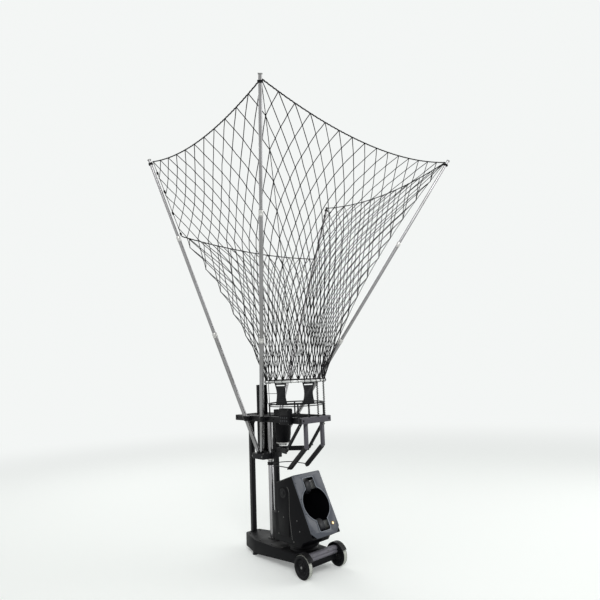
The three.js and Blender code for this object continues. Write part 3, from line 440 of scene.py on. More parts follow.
WHEEL_DISC = Finish(
    "wheel_disc", "tyre", "#0c0c0f", "#18181b", 0.42, relief=0.2, dust=0.04, shine=0.15
)
FOAM = Finish(
    "shooting_foam", "wheel_grey", "#1d1e22", "#2e2f34", 0.34, grain=320.0, relief=0.35, pits=0.6,
    blotch=18.0, wear=0.6, dust=0.1,
)
RUBBER = Finish(
    "soft_rubber", "rubber", "#111113", "#222225", 0.66, grain=600.0, relief=0.3, dust=0.1
)
CORD = Finish(
    "braided_cord", "net_cord", "#08080a", "#161619", 0.8, grain=1400.0, relief=0.5, blotch=40.0,
    wear=0.6, dust=0.0,
)
# The lens's glow is a painted glare: the bright glint on the small brass fitting beside the lower
# wheel, not a light of its own.
PAINTED_GLARE_LENS = Finish(
    "domed_lens", "lamp_lens", "#f2e3b3", "#ffe9bd", 0.2, coat=0.6, relief=0.05, wear=0.3,
    dust=0.0, glow=1.2,
)
GOLD = Finish("gold_ring", "lamp_lens", "#b98b35", "#8a6524", 0.28, metallic=1.0, dust=0.0)
DARK_GAP = Finish("dark_gap", "shell_black", "#0b0b0d", "#141416", 0.7, relief=0.1, dust=0.05)
BUTTON = Finish("button_plastic", "shell_black", "#26272b", "#35363b", 0.4, relief=0.1, dust=0.05)


def lines_mesh(name: str, places: Iterable[Vector], edges: Sequence[tuple[int, int]] = ()) -> Mesh:
    """A mesh of loose points, or of points with edges, for Geometry Nodes to work on.

    Args:
        name: the mesh's name.
        places: the points.
        edges: pairs of points that a line joins.

    Returns:
        The mesh.
    """
    mesh = bpy.data.meshes.new(name)
    mesh.from_pydata([tuple(place) for place in places], edges, [])
    return mesh


def mesh_from(name: str, places: Sequence[Vector], faces: Sequence[Sequence[int]]) -> Mesh:
    """A closed mesh with its faces turned outwards.

    Args:
        name: the mesh's name.
        places: its points, in metres.
        faces: the numbers of each face's points.

    Returns:
        The mesh.
    """
    mesh = bpy.data.meshes.new(name)
    mesh.from_pydata([tuple(place) for place in places], [], faces)
    shell = bmesh.new()
    shell.from_mesh(mesh)
    bmesh.ops.remove_doubles(shell, verts=shell.verts, dist=1e-7)
    bmesh.ops.recalc_face_normals(shell, faces=shell.faces)
    shell.to_mesh(mesh)
    shell.free()
    return mesh


def stand(origin: Vector, axis: Vector = UP, roll: float = 0.0) -> Matrix:
    """The matrix that takes a piece made round Z to a place and a direction."""
    turn = UP.rotation_difference(axis.normalized()).to_matrix().to_4x4()
    return Matrix.Translation(origin) @ turn @ Matrix.Rotation(roll, 4, "Z")


def turned(
    profile: Sequence[tuple[float, float]], where: Matrix, sides: int = 48, closed: bool = False
) -> Mesh:
    """A turned piece.

    Args:
        profile: radius and height of each point, in millimetres.
        where: the matrix that places the piece, in metres.
        sides: facets round the piece.
        closed: whether the profile's end joins its start, as on a tube.

    Returns:
        The mesh.
    """
    places: list[Vector] = []
    rings: list[list[int]] = []
    for radius, height in profile:
        if radius < ON_AXIS:
            places.append(where @ Vector((0.0, 0.0, height * MM)))
            rings.append([len(places) - 1] * sides)
            continue
        start = len(places)
        for i in range(sides):
            outward = heading(2 * math.pi * i / sides) * radius * MM
            places.append(where @ (outward + Vector((0.0, 0.0, height * MM))))
        rings.append(list(range(start, start + sides)))
    faces = []
    pairs = list(zip(rings, rings[1:]))
    if closed:
        pairs.append((rings[-1], rings[0]))
    for low, high in pairs:
        for i in range(sides):
            k = (i + 1) % sides
            corners = [low[i], low[k], high[k], high[i]]
            single = [c for n, c in enumerate(corners) if c not in corners[:n]]
            if len(single) > 2:
                faces.append(single)
    return mesh_from("turned", places, faces)


def evaluated(thing: bpy.types.Object) -> Mesh:
    """The mesh that an object's modifiers make of it.

    Args:
        thing: the object, which is removed.

    Returns:
        The mesh.
    """
    show(thing)
    graph = bpy.context.evaluated_depsgraph_get()
    mesh = bpy.data.meshes.new_from_object(thing.evaluated_get(graph), depsgraph=graph)
    bpy.data.objects.remove(thing)
    return mesh


def bevelled(mesh: Mesh, width: float, segments: int = 3) -> Mesh:
    """Rounds the edges where a mesh turns by more than 30 degrees.

    Args:
        mesh: the mesh.
        width: the rounding, in millimetres.
        segments: steps across the rounding.

    Returns:
        The rounded mesh.
    """
    thing = bpy.data.objects.new("work", mesh)
    bevel = thing.modifiers.new("Rounding", "BEVEL")
    bevel.width = width * MM
    bevel.segments = segments
    bevel.limit_method = "ANGLE"
    bevel.angle_limit = math.radians(30)
    bevel.harden_normals = True
    bevel.miter_outer = "MITER_ARC"
    return evaluated(thing)


def softened(node: str, width: float, segments: int = 3) -> Mesh:
    """A copy of a solid with its triangles joined up and its edges rounded.

    Args:
        node: the solid's name.
        width: the rounding, in millimetres.
        segments: steps across the rounding.

    Returns:
        The mesh.
    """
    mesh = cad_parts[node].data.copy()
    mesh.materials.clear()
    shell = bmesh.new()
    shell.from_mesh(mesh)
    bmesh.ops.remove_doubles(shell, verts=shell.verts, dist=1e-5)
    bmesh.ops.dissolve_limit(
        shell, angle_limit=math.radians(0.5), verts=shell.verts, edges=shell.edges
    )
    shell.to_mesh(mesh)
    shell.free()
    return bevelled(mesh, width, segments)


def block(low: Vector, high: Vector, rounding: float) -> Mesh:
    """A block with rounded edges.

    Args:
        low: its lowest corner, in metres.
        high: its highest corner.
        rounding: the rounding of its edges, in millimetres.

    Returns:
        The mesh.
    """
    shell = bmesh.new()
    bmesh.ops.create_cube(shell, size=1.0)
    middle, size = (low + high) / 2, high - low
    for vertex in shell.verts:
        vertex.co = Vector(a * b for a, b in zip(vertex.co, size)) + middle
    mesh = bpy.data.meshes.new("block")
    shell.to_mesh(mesh)
    shell.free()
    return bevelled(mesh, rounding)


def swept(path: Sequence[Vector], radius: float, sides: int = 16, ring: bool = False) -> Mesh:
    """A round bar.

    Args:
        path: points along its middle, in metres.
        radius: its radius in millimetres.
        sides: facets round it.
        ring: whether its end joins its start.

    Returns:
        The mesh.
    """
    curve = bpy.data.curves.new("bar", "CURVE")
    curve.dimensions = "3D"
    curve.bevel_depth = radius * MM
    curve.bevel_resolution = max(sides // 4 - 1, 0)
    curve.use_fill_caps = not ring
    line = curve.splines.new("POLY")
    line.points.add(len(path) - 1)
    for point, place in zip(line.points, path):
        point.co = (*place, 1.0)
    line.use_cyclic_u = ring
    return evaluated(bpy.data.objects.new("work", curve))


def joined(meshes: Iterable[Mesh]) -> Mesh:
    """Several meshes as one.

    Args:
        meshes: the meshes, in order.

    Returns:
        The whole, without materials.
    """
    whole = bpy.data.meshes.new("joined")
    shell = bmesh.new()
    for mesh in meshes:
        shell.from_mesh(mesh)
    shell.to_mesh(whole)
    shell.free()
    return whole


def circle(
    radius: float, centre: Vector, steps: int, start: float = 0.0, sweep: float = 360.0
) -> list[Vector]:
    """Points of a level circle or arc.

    Args:
        radius: its radius in millimetres.
        centre: its centre, in metres.
        steps: the steps along it.
        start: the angle of the first point, in degrees.
        sweep: the angle that it covers; 360 closes it.

    Returns:
        The points, in metres.
    """
    count = steps if sweep >= 360 else steps + 1
    angles = [math.radians(start + sweep * i / steps) for i in range(count)]
    return [centre + heading(angle) * radius * MM for angle in angles]


class Growth(Enum):
    """The rules by which Geometry Nodes repeat a shape or follow a line."""

    FASTENERS = "Fasteners"
    WELD = "Weld bead"
    CORDS = "Knotted cords"
    ROPE = "Laid rope"
    COIL = "Coil spring"
    RIBS = "Ribs round a wheel"


GEOMETRY = "NodeSocketGeometry"
COUNT = "NodeSocketInt"
DRESS = "NodeSocketMaterial"


class Workshop:
    """Holds the Geometry Nodes trees and grows meshes with them."""

    def __init__(self) -> None:
        """Builds one tree for each rule."""
        makers = {
            Growth.FASTENERS: self._fasteners, Growth.WELD: self._weld, Growth.CORDS: self._cords,
            Growth.ROPE: self._rope, Growth.COIL: self._coil, Growth.RIBS: self._ribs,
        }
        self.trees = {rule: make(rule.value) for rule, make in makers.items()}

    def grow(self, rule: Growth, source: Mesh, finish: bpy.types.Material, **sizes: float) -> Mesh:
        """Runs one tree on a mesh.

        Args:
            rule: which tree.
            source: the points or lines that it works on.
            finish: the material of what it makes.
            sizes: the tree's named inputs, with spaces written as underlines.

        Returns:
            A plain mesh.
        """
        thing = bpy.data.objects.new("work", source)
        modifier = thing.modifiers.new("Grow", "NODES")
        modifier.node_group = self.trees[rule]
        values = {name.replace("_", " "): value for name, value in sizes.items()}
        for item in self.trees[rule].interface.items_tree:
            if item.item_type != "SOCKET" or item.in_out != "INPUT":
                continue
            if item.name == "Material":
                modifier[item.identifier] = finish
            elif item.name in values:
                modifier[item.identifier] = values.pop(item.name)
        if values:
            raise ValueError(f"{rule.value} has no inputs named {sorted(values)}")
        return evaluated(thing)

    @staticmethod
    def _start(name: str, inputs: dict[str, tuple]) -> tuple[Nodes, Sockets, Sockets]:
        """A geometry tree with the given inputs and a material."""
        sockets = {"Geometry": (GEOMETRY, None), **inputs, "Material": (DRESS, None)}
        return new_group(name, "GeometryNodeTree", sockets, {"Geometry": GEOMETRY})

    @staticmethod
    def _scatter(
        nodes: Nodes, points: Socket, shape: Socket, turn: Socket | None = None
    ) -> Socket:
        """A shape at every point, turned where a rotation is given.

        Args:
            nodes: the tree.
            points: where the copies go.
            shape: what is copied.
            turn: each copy's rotation.

        Returns:
            The copies.
        """
        values = {"Points": points, "Instance": shape}
        if turn is not None:
            values["Rotation"] = turn
        return nodes.out("GeometryNodeInstanceOnPoints", values)

    @staticmethod
    def _end(nodes: Nodes, given: Sockets, made: Sockets, shape: Socket) -> Tree:
        """Realizes, dresses and puts out what a tree has made.

        Args:
            nodes: the tree's builder.
            given: what it is given.
            made: what it puts out.
            shape: what it has made.

        Returns:
            The tree.
        """
        whole = nodes.out("GeometryNodeRealizeInstances", {"Geometry": shape})
        dressed = nodes.out(
            "GeometryNodeSetMaterial", {"Geometry": whole, "Material": given["Material"]}
        )
        nodes.link(dressed, made["Geometry"])
        return nodes.tree

    def _fasteners(self, name: str) -> Tree:
        """A head on a washer at each point, along the point's own aim.

        Args:
            name: the tree's name.

        Returns:
            The tree.
        """
        nodes, given, made = self._start(
            name,
            {
                "Radius": (FLOAT, 0.005), "Height": (FLOAT, 0.004), "Washer": (FLOAT, 0.007),
                "Sheet": (FLOAT, 0.001), "Sides": (COUNT, 6),
            },
        )
        head = nodes.out(
            "GeometryNodeMeshCylinder",
            {"Vertices": given["Sides"], "Radius": given["Radius"], "Depth": given["Height"]},
        )
        washer = nodes.out(
            "GeometryNodeMeshCylinder",
            {"Vertices": 20, "Radius": given["Washer"], "Depth": given["Sheet"]},
        )
        half_head = nodes.maths("MULTIPLY", given["Height"], 0.5)
        lift = nodes.out(
            "ShaderNodeCombineXYZ", {"Z": nodes.maths("ADD", half_head, given["Sheet"])}
        )
        low = nodes.out(
            "ShaderNodeCombineXYZ", {"Z": nodes.maths("MULTIPLY", given["Sheet"], 0.5)}
        )
        raised = nodes.out("GeometryNodeTransform", {"Geometry": head, "Translation": lift})
        seated = nodes.out("GeometryNodeTransform", {"Geometry": washer, "Translation": low})
        both = nodes.join(raised, seated)
        aim = nodes.out(
            "GeometryNodeInputNamedAttribute", {"Name": "aim"}, data_type="FLOAT_VECTOR"
        )
        turn = nodes.out("FunctionNodeAlignRotationToVector", {"Vector": aim}, axis="Z")
        placed = self._scatter(nodes, given["Geometry"], both, turn)
        return self._end(nodes, given, made, placed)

    def _weld(self, name: str) -> Tree:
        """Overlapping flat beads along a line.

        Args:
            name: the tree's name.

        Returns:
            The tree.
        """
        nodes, given, made = self._start(name, {"Bead": (FLOAT, 0.002), "Step": (FLOAT, 0.003)})
        line = nodes.out("GeometryNodeMeshToCurve", {0: given["Geometry"]})
        even = nodes.out(
            "GeometryNodeResampleCurve", {"Curve": line, "Length": given["Step"]}, mode="LENGTH"
        )
        bead = nodes.out("GeometryNodeMeshIcoSphere", {"Radius": given["Bead"], "Subdivisions": 1})
        return self._end(nodes, given, made, self._scatter(nodes, even, bead))

    def _cords(self, name: str) -> Tree:
        """A cord along every edge and a knot at every point, a little unevenly drawn.

        Args:
            name: the tree's name.

        Returns:
            The tree.
        """
        nodes, given, made = self._start(
            name, {"Radius": (FLOAT, 0.002), "Knot": (FLOAT, 0.004), "Waver": (FLOAT, 0.01)}
        )
        place = nodes.out("GeometryNodeInputPosition")
        drift = nodes.add(
            "ShaderNodeTexNoise", {"Vector": place, "Scale": 7.0, "Detail": 1.0}
        ).outputs["Color"]
        centred = nodes.out(
            "ShaderNodeVectorMath", {0: drift, 1: (0.5, 0.5, 0.5)}, operation="SUBTRACT"
        )
        free = nodes.out("GeometryNodeInputNamedAttribute", {"Name": "free"}, data_type="FLOAT")
        amount = nodes.maths("MULTIPLY", free, given["Waver"])
        offset = nodes.out(
            "ShaderNodeVectorMath", {0: centred, "Scale": amount}, operation="SCALE"
        )
        finer = nodes.out("GeometryNodeSubdivideMesh", {"Mesh": given["Geometry"], "Level": 1})
        bent = nodes.out("GeometryNodeSetPosition", {"Geometry": finer, "Offset": offset})
        knots = nodes.out(
            "GeometryNodeSetPosition", {"Geometry": given["Geometry"], "Offset": offset}
        )
        line = nodes.out("GeometryNodeMeshToCurve", {0: bent})
        section = nodes.out(
            "GeometryNodeCurvePrimitiveCircle", {"Resolution": 6, "Radius": given["Radius"]}
        )
        cord = nodes.out("GeometryNodeCurveToMesh", {"Curve": line, "Profile Curve": section})
        lump = nodes.out("GeometryNodeMeshIcoSphere", {"Radius": given["Knot"], "Subdivisions": 2})
        both = nodes.join(cord, self._scatter(nodes, knots, lump))
        return self._end(nodes, given, made, both)

    def _rope(self, name: str) -> Tree:
        """A rope of three strands twisted along a line.

        Args:
            name: the tree's name.

        Returns:
            The tree.
        """
        nodes, given, made = self._start(
            name, {"Radius": (FLOAT, 0.004), "Pitch": (FLOAT, 0.03), "Step": (FLOAT, 0.005)}
        )
        line = nodes.out("GeometryNodeMeshToCurve", {0: given["Geometry"]})
        even = nodes.out(
            "GeometryNodeResampleCurve", {"Curve": line, "Length": given["Step"]}, mode="LENGTH"
        )
        along = nodes.add("GeometryNodeSplineParameter").outputs["Length"]
        turns = nodes.maths("DIVIDE", along, given["Pitch"])
        twist = nodes.maths("MULTIPLY", turns, 2 * math.pi / 3)
        tilted = nodes.out("GeometryNodeSetCurveTilt", {"Curve": even, "Tilt": twist})
        strands = nodes.out(
            "GeometryNodeCurveStar",
            {
                "Points": 3, "Inner Radius": nodes.maths("MULTIPLY", given["Radius"], 0.66),
                "Outer Radius": given["Radius"], "Twist": 0.0,
            },
        )
        section = nodes.out("GeometryNodeSubdivideCurve", {"Curve": strands, "Cuts": 1})
        rope = nodes.out(
            "GeometryNodeCurveToMesh",
            {"Curve": tilted, "Profile Curve": section, "Fill Caps": True},
        )
        return self._end(nodes, given, made, rope)

    def _coil(self, name: str) -> Tree:
        """A spring of round wire that climbs from each point.

        Args:
            name: the tree's name.

        Returns:
            The tree.
        """
        nodes, given, made = self._start(
            name,
            {
                "Radius": (FLOAT, 0.007), "Wire": (FLOAT, 0.002), "Height": (FLOAT, 0.2),
                "Curls": (FLOAT, 10.0),
            },
        )
        spiral = nodes.out(
            "GeometryNodeCurveSpiral",
            {
                "Resolution": 16, "Rotations": given["Curls"], "Start Radius": given["Radius"],
                "End Radius": given["Radius"], "Height": given["Height"],
            },
        )
        section = nodes.out(
            "GeometryNodeCurvePrimitiveCircle", {"Resolution": 8, "Radius": given["Wire"]}
        )
        wire = nodes.out(
            "GeometryNodeCurveToMesh",
            {"Curve": spiral, "Profile Curve": section, "Fill Caps": True},
        )
        return self._end(nodes, given, made, self._scatter(nodes, given["Geometry"], wire))

    def _ribs(self, name: str) -> Tree:
        """Bars across a wheel's tread, evenly spaced round it.

        Args:
            name: the tree's name.

        Returns:
            The tree.
        """
        nodes, given, made = self._start(
            name,
            {
                "Ribs": (COUNT, 36), "Radius": (FLOAT, 0.088), "Depth": (FLOAT, 0.004),
                "Width": (FLOAT, 0.04), "Length": (FLOAT, 0.008),
            },
        )
        ring = nodes.out(
            "GeometryNodeMeshCircle", {"Vertices": given["Ribs"], "Radius": given["Radius"]}
        )
        size = nodes.out(
            "ShaderNodeCombineXYZ",
            {"X": given["Depth"], "Y": given["Length"], "Z": given["Width"]},
        )
        bar = nodes.out("GeometryNodeMeshCube", {"Size": size})
        place = nodes.out("GeometryNodeInputPosition")
        turn = nodes.out("FunctionNodeAlignRotationToVector", {"Vector": place}, axis="X")
        return self._end(nodes, given, made, self._scatter(nodes, ring, bar, turn))


@dataclass
class SubAssembly:
    """A part of the machine that makes its own pieces and dresses them."""

    groups: ShaderGroups
    shop: Workshop
    pieces: list[str] = field(default_factory=list)

    def dress(self, finish: Finish) -> bpy.types.Material:
        """The material of a finish."""
        return finish.material(self.groups)

    def put(
        self, name: str, mesh: Mesh, finish: Finish, body: str = FIXED,
        stands_for: Sequence[str] = (), crease: float = 35.0,
    ) -> bpy.types.Object:
        """Places a finished mesh as a piece of the machine.

        Args:
            name: the piece's name.
            mesh: its mesh, in the shared frame.
            finish: its finish.
            body: the body that it rides on.
            stands_for: solids that it replaces.
            crease: the angle in degrees past which an edge stays sharp.

        Returns:
            The piece.
        """
        mesh.name = name
        mesh.materials.clear()
        mesh.materials.append(self.dress(finish))
        mesh.shade_smooth()
        mesh.set_sharp_from_angle(angle=math.radians(crease))
        piece = show(bpy.data.objects.new(name, mesh))
        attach(piece, body)
        if stands_for:
            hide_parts(*stands_for)
        self.pieces.append(name)
        log.info("%s rides on %s with %d faces", name, body, len(mesh.polygons))
        return piece

    def soft(
        self, node: str, width: float, finish: Finish, body: str = FIXED, segments: int = 3
    ) -> bpy.types.Object:
        """Puts a rounded copy of a solid in its place."""
        name = f"{node}_dressed"
        return self.put(name, softened(node, width, segments), finish, body, (node,), 25.0)

    def fasteners(
        self, name: str, places: Sequence[tuple[Vector, Vector]], radius: float,
        finish: Finish = BLACK_BOLT, body: str = FIXED, sides: int = 6, height: float = 0.7,
    ) -> bpy.types.Object:
        """Puts screw or bolt heads on a part.

        Args:
            name: the piece's name.
            places: each head's seat and the way it faces.
            radius: the head's radius in millimetres.
            finish: its finish.
            body: the body that the heads ride on.
            sides: 6 for a hexagon, more for a round head.
            height: the head's height as a share of its radius.

        Returns:
            The piece.
        """
        points = lines_mesh(name, [place for place, _ in places])
        aim = points.attributes.new("aim", "FLOAT_VECTOR", "POINT")
        aim.data.foreach_set("vector", [part for _, way in places for part in way])
        mesh = self.shop.grow(
            Growth.FASTENERS, points, self.dress(finish), Radius=radius * MM,
            Height=radius * height * MM, Washer=radius * 1.35 * MM, Sheet=radius * 0.2 * MM,
            Sides=sides,
        )
        return self.put(name, mesh, finish, body)

    def welds(self, name: str, lines: Sequence[Sequence[Vector]], finish: Finish) -> None:
        """Puts weld beads along closed lines on the fixed frame.

        Args:
            name: the piece's name.
            lines: the corners or points of each line.
            finish: the beads' finish.
        """
        edges, start = [], 0
        for line in lines:
            count = len(line)
            edges += [(start + i, start + (i + 1) % count) for i in range(count)]
            start += count
        path = lines_mesh(name, [place for line in lines for place in line], edges)
        beads = self.shop.grow(Growth.WELD, path, self.dress(finish), Bead=0.0024, Step=0.0028)
        self.put(name, beads, finish, crease=80.0)


def square(centre: Vector, half: float) -> list[Vector]:
    """The corners of a level square round a place, by half its side in millimetres."""
    corners = ((-1, -1), (1, -1), (1, 1), (-1, 1))
    return [centre + Vector((x * half, y * half, 0.0)) * MM for x, y in corners]


@dataclass
class RollingBase(SubAssembly):
    """The tray with its nose, bumper, fenders, wheels and feet."""

    axle_height: float = 90.0
    axle_radius: float = 10.0
    axle_reach: float = 216.0
    mat_thickness: float = 1.6
    foot_x: float = 110.0
    foot_y: float = 740.0
    wheel_radius: float = 90.0
    wheel_track: float = 193.0
    wheel_width: float = 42.0
    tread_ribs: int = 36
    nut_circle: float = 38.0

    def build(self) -> None:
        """Makes every piece of the base."""
        self.soft("base_tray", 7.0, TRAY_PLASTIC, segments=4)
        # The bumper is drawn lighter than its paint: painted light on its lit top.
        self.soft("front_bumper", 2.0, BUMPER_PAINTED_LIT)
        for side, sign in SIDES:
            self.soft(f"fender_{side}", 0.8, BLACK_PAINT, segments=2)
            self.wheel(side, sign)
            self.foot(side, sign)
        reach, radius, chamfer = self.axle_reach, self.axle_radius, 1.5
        rod = [
            (0, -reach), (radius - chamfer, -reach), (radius, chamfer - reach),
            (radius, reach - chamfer), (radius - chamfer, reach), (0, reach),
        ]
        axle = turned(rod, stand(spot(0, 0, self.axle_height), ALONG_X), 32)
        self.put("axle_rod", axle, BOLT_STEEL, stands_for=("axle",))
        bolts = [(spot(x, -32.2, 158), -ALONG_Y) for x in (-110, -55, 55, 110)]
        self.fasteners("bumper_bolts", bolts, 5.0, BOLT_STEEL, sides=20, height=0.5)
        deck = [(x, y) for x in (-125, 125) for y in (340, 480, 640)] + [(-60, 885), (60, 885)]
        screws = [(spot(x, y, DECK_TOP), UP) for x, y in deck]
        self.fasteners("tray_screws", screws, 6.0, BLACK_BOLT, sides=20)
        low = spot(-132, 330, DECK_TOP)
        high = spot(132, 500, DECK_TOP + self.mat_thickness)
        self.put("deck_mat", block(low, high, 0.7), RUBBER)

    def wheel(self, side: str, sign: int) -> None:
        """Makes one wheel.

        Args:
            side: left or right.
            sign: the side's sign along X.
        """
        body = f"wheel_{side}_body"
        out = ALONG_X * sign
        where = stand(spot(sign * self.wheel_track, 0, self.axle_height), out)
        self.tyre(side, where, body)
        self.disc(side, where, body)
        nuts = [(where @ at, out) for at in circle(self.nut_circle, UP * 7.0 * MM, 5)]
        self.fasteners(f"wheel_nuts_{side}", nuts, 4.5, BLACK_BOLT, body)

    def tyre(self, side: str, where: Matrix, body: str) -> None:
        """Makes a wheel's dark walls and its pale ribbed tread.

        Args:
            side: left or right.
            where: the wheel's matrix.
            body: the body that it rides on.
        """
        half = self.wheel_width / 2
        wall = [
            (66, -half + 2), (68, -half), (82, -half), (88, -half + 2.5), (88.4, -half + 5.5),
            (85.5, -half + 6), (85.5, half - 6), (88.4, half - 5.5), (88, half - 2.5), (82, half),
            (68, half), (66, half - 2),
        ]
        shell = turned(wall, where, 72, True)
        self.put(f"tyre_wall_{side}", shell, WHEEL_DISC, body, (f"wheel_{side}",))
        band = [(85, -half + 6)]
        for step in range(-8, 9):
            band.append((86.2 if step in (-3, 3) else 88.2, step * (half - 6.2) / 8))
        band.append((85, half - 6))
        tyre = turned(band, where, 96, closed=True)
        ribs = self.shop.grow(
            Growth.RIBS, bpy.data.meshes.new("ribs"), self.dress(TREAD), Ribs=self.tread_ribs,
            Radius=(self.wheel_radius - 1.9) * MM, Depth=3.6 * MM,
            Width=(self.wheel_width - 12.6) * MM, Length=8.6 * MM,
        )
        ribs.transform(where)
        self.put(f"tread_{side}", joined([tyre, ribs]), TREAD, body)

    def disc(self, side: str, where: Matrix, body: str) -> None:
        """Makes a wheel's disc, its hub cap and the domed end of the axle.

        Args:
            side: left or right.
            where: the wheel's matrix.
            body: the body that it rides on.
        """
        half = self.wheel_width / 2
        disc = [
            (17, -half + 1), (30, -10), (52, -6), (63, -half + 4), (66, -half + 1), (66, half - 1),
            (63, half - 4), (58, 8), (50, 6), (30, 9), (24, half - 4), (17, half - 4),
        ]
        self.put(f"wheel_disc_{side}", turned(disc, where, 72, True), WHEEL_DISC, body)
        cap = [
            (10.4, half - 6), (26, half - 6), (26, half - 3), (23, half - 0.5), (17, half),
            (10.4, half),
        ]
        self.put(f"hub_cap_{side}", turned(cap, where, 48, True), WHEEL_DISC, body)
        dome = [
            (0, half - 4), (10.3, half - 4), (10.3, half - 1.5), (7, half + 0.4), (0, half + 1)
        ]
        self.put(f"axle_nut_{side}", turned(dome, where, 28), COLLAR_METAL, body)

    def foot(self, side: str, sign: int) -> None:
        """Makes one rubber foot with a step and a rounded heel.

        Args:
            side: left or right.
            sign: the side's sign along X.
        """
        where = stand(spot(sign * self.foot_x, self.foot_y, 0))
        profile = [
            (0, 0), (23, 0), (25, 2), (25, 6.5), (23.6, 8), (21.4, 9.5), (20.2, 28), (20, 29.6),
            (0, 29.6),
        ]
        pad = turned(profile, where, 40)
        self.put(f"foot_pad_{side}", pad, RUBBER, stands_for=(f"foot_{side}",))


@dataclass
class SteelFrame(SubAssembly):
    """The beams, posts, telescopic column, hub and the channel behind it."""

    top: float = FRAME_TOP
    low: float = 1173.0
    mast_y: float = 535.0
    column_y: float = 617.0
    post_y: float = 903.0
    beam_x: float = 147.0
    front_end_x: float = 163.0
    plug_half_height: float = 21.8
    plug_half_width: float = 16.8
    knob_height: float = 905.0

    def build(self) -> None:
        """Makes every piece of the frame."""
        # The front beam takes the grey: black paint with painted light from the front.
        self.soft("frame_front_beam", 2.5, BLACK_PAINT_PAINTED_LIT)
        for node in ("frame_side_beam_left", "frame_side_beam_right", "frame_rear_beam"):
            self.soft(node, 1.2, BLACK_PAINT, segments=2)
        for node in ("frame_mid_beam", "mast", "rear_post", "pole_channel"):
            self.soft(node, 1.0, BLACK_PAINT, segments=2)
        self.soft("pole_hub", 1.2, BLACK_ALLOY, segments=2)
        self.plugs()
        self.column()
        self.joints()
        self.knob()

    def plugs(self) -> None:
        """Closes the open beam ends with plastic plugs."""
        shapes = []
        middle = (self.top + self.low) / 2
        wide, tall = self.plug_half_width, self.plug_half_height
        for sign in (-1, 1):
            x = sign * self.beam_x
            low, high = spot(x - wide, 921, middle - tall), spot(x + wide, 925, middle + tall)
            shapes.append(block(low, high, 1.2))
            x = sign * self.front_end_x
            low, high = spot(x - 4, -wide, middle - tall), spot(x + 4, tall, middle + tall)
            shapes.append(block(low, high, 1.2))
        self.put("beam_plugs", joined(shapes), RUBBER)

    def column(self) -> None:
        """Makes the two tubes of the column, the collar and the clamp's bright band."""
        at = stand(spot(0, self.column_y, 0))
        outer = [(22.2, 140.4), (25, 140.4), (25, 768.5), (24, 770), (22.2, 770)]
        sleeve = turned(outer, at, 64, True)
        self.put("column_sleeve", sleeve, CHROME, stands_for=("column_outer",))
        inner = [(19, 160), (22, 160), (22, 1196.6), (19, 1196.6)]
        self.put("column_rod", turned(inner, at, 64, True), CHROME, stands_for=("column_inner",))
        ring = [
            (22.3, 770.4), (29.5, 770.4), (31, 772), (31, 779), (29.6, 780.4), (29.6, 784),
            (31, 785.4), (31, 793), (27, 798.2), (22.3, 798.2),
        ]
        collar = turned(ring, at, 56, True)
        self.put(
            "column_collar_ring", collar, BLACK_PAINT, stands_for=("column_collar",), crease=50.0
        )
        band = [(33.2, 815), (34.6, 816), (34.6, 825), (33.2, 826)]
        self.put("hub_clamp_band", turned(band, at, 56, True), COLLAR_METAL)
        bolts = [(spot(x, y, 878), UP) for x in (-98, 98) for y in (600, 735)]
        bolts += [(spot(s * 112, y, 854), ALONG_X * s) for s in (-1, 1) for y in (600, 740)]
        bolts.append((spot(0, 650.5, 820.5), ALONG_Y))
        self.fasteners("hub_bolts", bolts, 6.0, BOLT_STEEL)

    def joints(self) -> None:
        """Adds weld beads where tubes meet and bolts where they are screwed."""
        deck = DECK_TOP + 1.5
        lines = [
            square(spot(0, self.mast_y, deck), 21.0), square(spot(0, self.post_y, deck), 23.0),
            circle(26.0, spot(0, self.column_y, deck), 24),
            square(spot(0, self.post_y, self.low - 1), 23.0),
        ]
        self.welds("frame_welds", lines, BLACK_PAINT)
        places = []
        for sign in (-1, 1):
            out = ALONG_X * sign
            places += [(spot(sign * 167, y, 1198), out) for y in (2, 360, 560, 905)]
        places += [(spot(sign * self.beam_x, -20, 1198), -ALONG_Y) for sign in (-1, 1)]
        self.fasteners("beam_bolts", places, 6.5, BLACK_BOLT)
        profile = [(25.4, 0), (44, 0), (45, 1), (45, 4), (44, 5), (25.4, 5)]
        flange = turned(profile, stand(spot(0, self.column_y, 140.6)), 48, True)
        self.put("column_foot_flange", flange, BLACK_PAINT)
        bolts = [(at, UP) for at in circle(35.0, spot(0, self.column_y, 145.6), 4, 45.0)]
        self.fasteners("flange_bolts", bolts, 4.5, BOLT_STEEL)

    def knob(self) -> None:
        """Makes the lobed hand knob with its bright stem."""
        where = stand(spot(-20.3, self.mast_y, self.knob_height), -ALONG_X)
        places, faces = [], []
        lobes, steps = 6, 72
        levels = [(12, 0.86), (13.2, 1.0), (28.4, 1.0), (29.8, 0.9), (30, 0.0)]
        for height, share in levels:
            for i in range(steps):
                angle = 2 * math.pi * i / steps
                radius = (15.6 + 1.4 * math.cos(lobes * angle)) * share
                place = Vector((radius * math.cos(angle), radius * math.sin(angle), height))
                places.append(where @ (place * MM))
        for level in range(len(levels) - 1):
            for i in range(steps):
                k = (i + 1) % steps
                a, b = level * steps, (level + 1) * steps
                faces.append([a + i, a + k, b + k, b + i])
        faces.append(list(reversed(range(steps))))
        grip = mesh_from("grip", places, faces)
        self.put("knob_grip", grip, RUBBER, "knob", ("clamp_knob",), 40.0)
        stem = turned([(0, 0), (5, 0), (5, 12.4), (0, 12.4)], where, 24)
        self.put("knob_stem", stem, BOLT_STEEL, "knob")


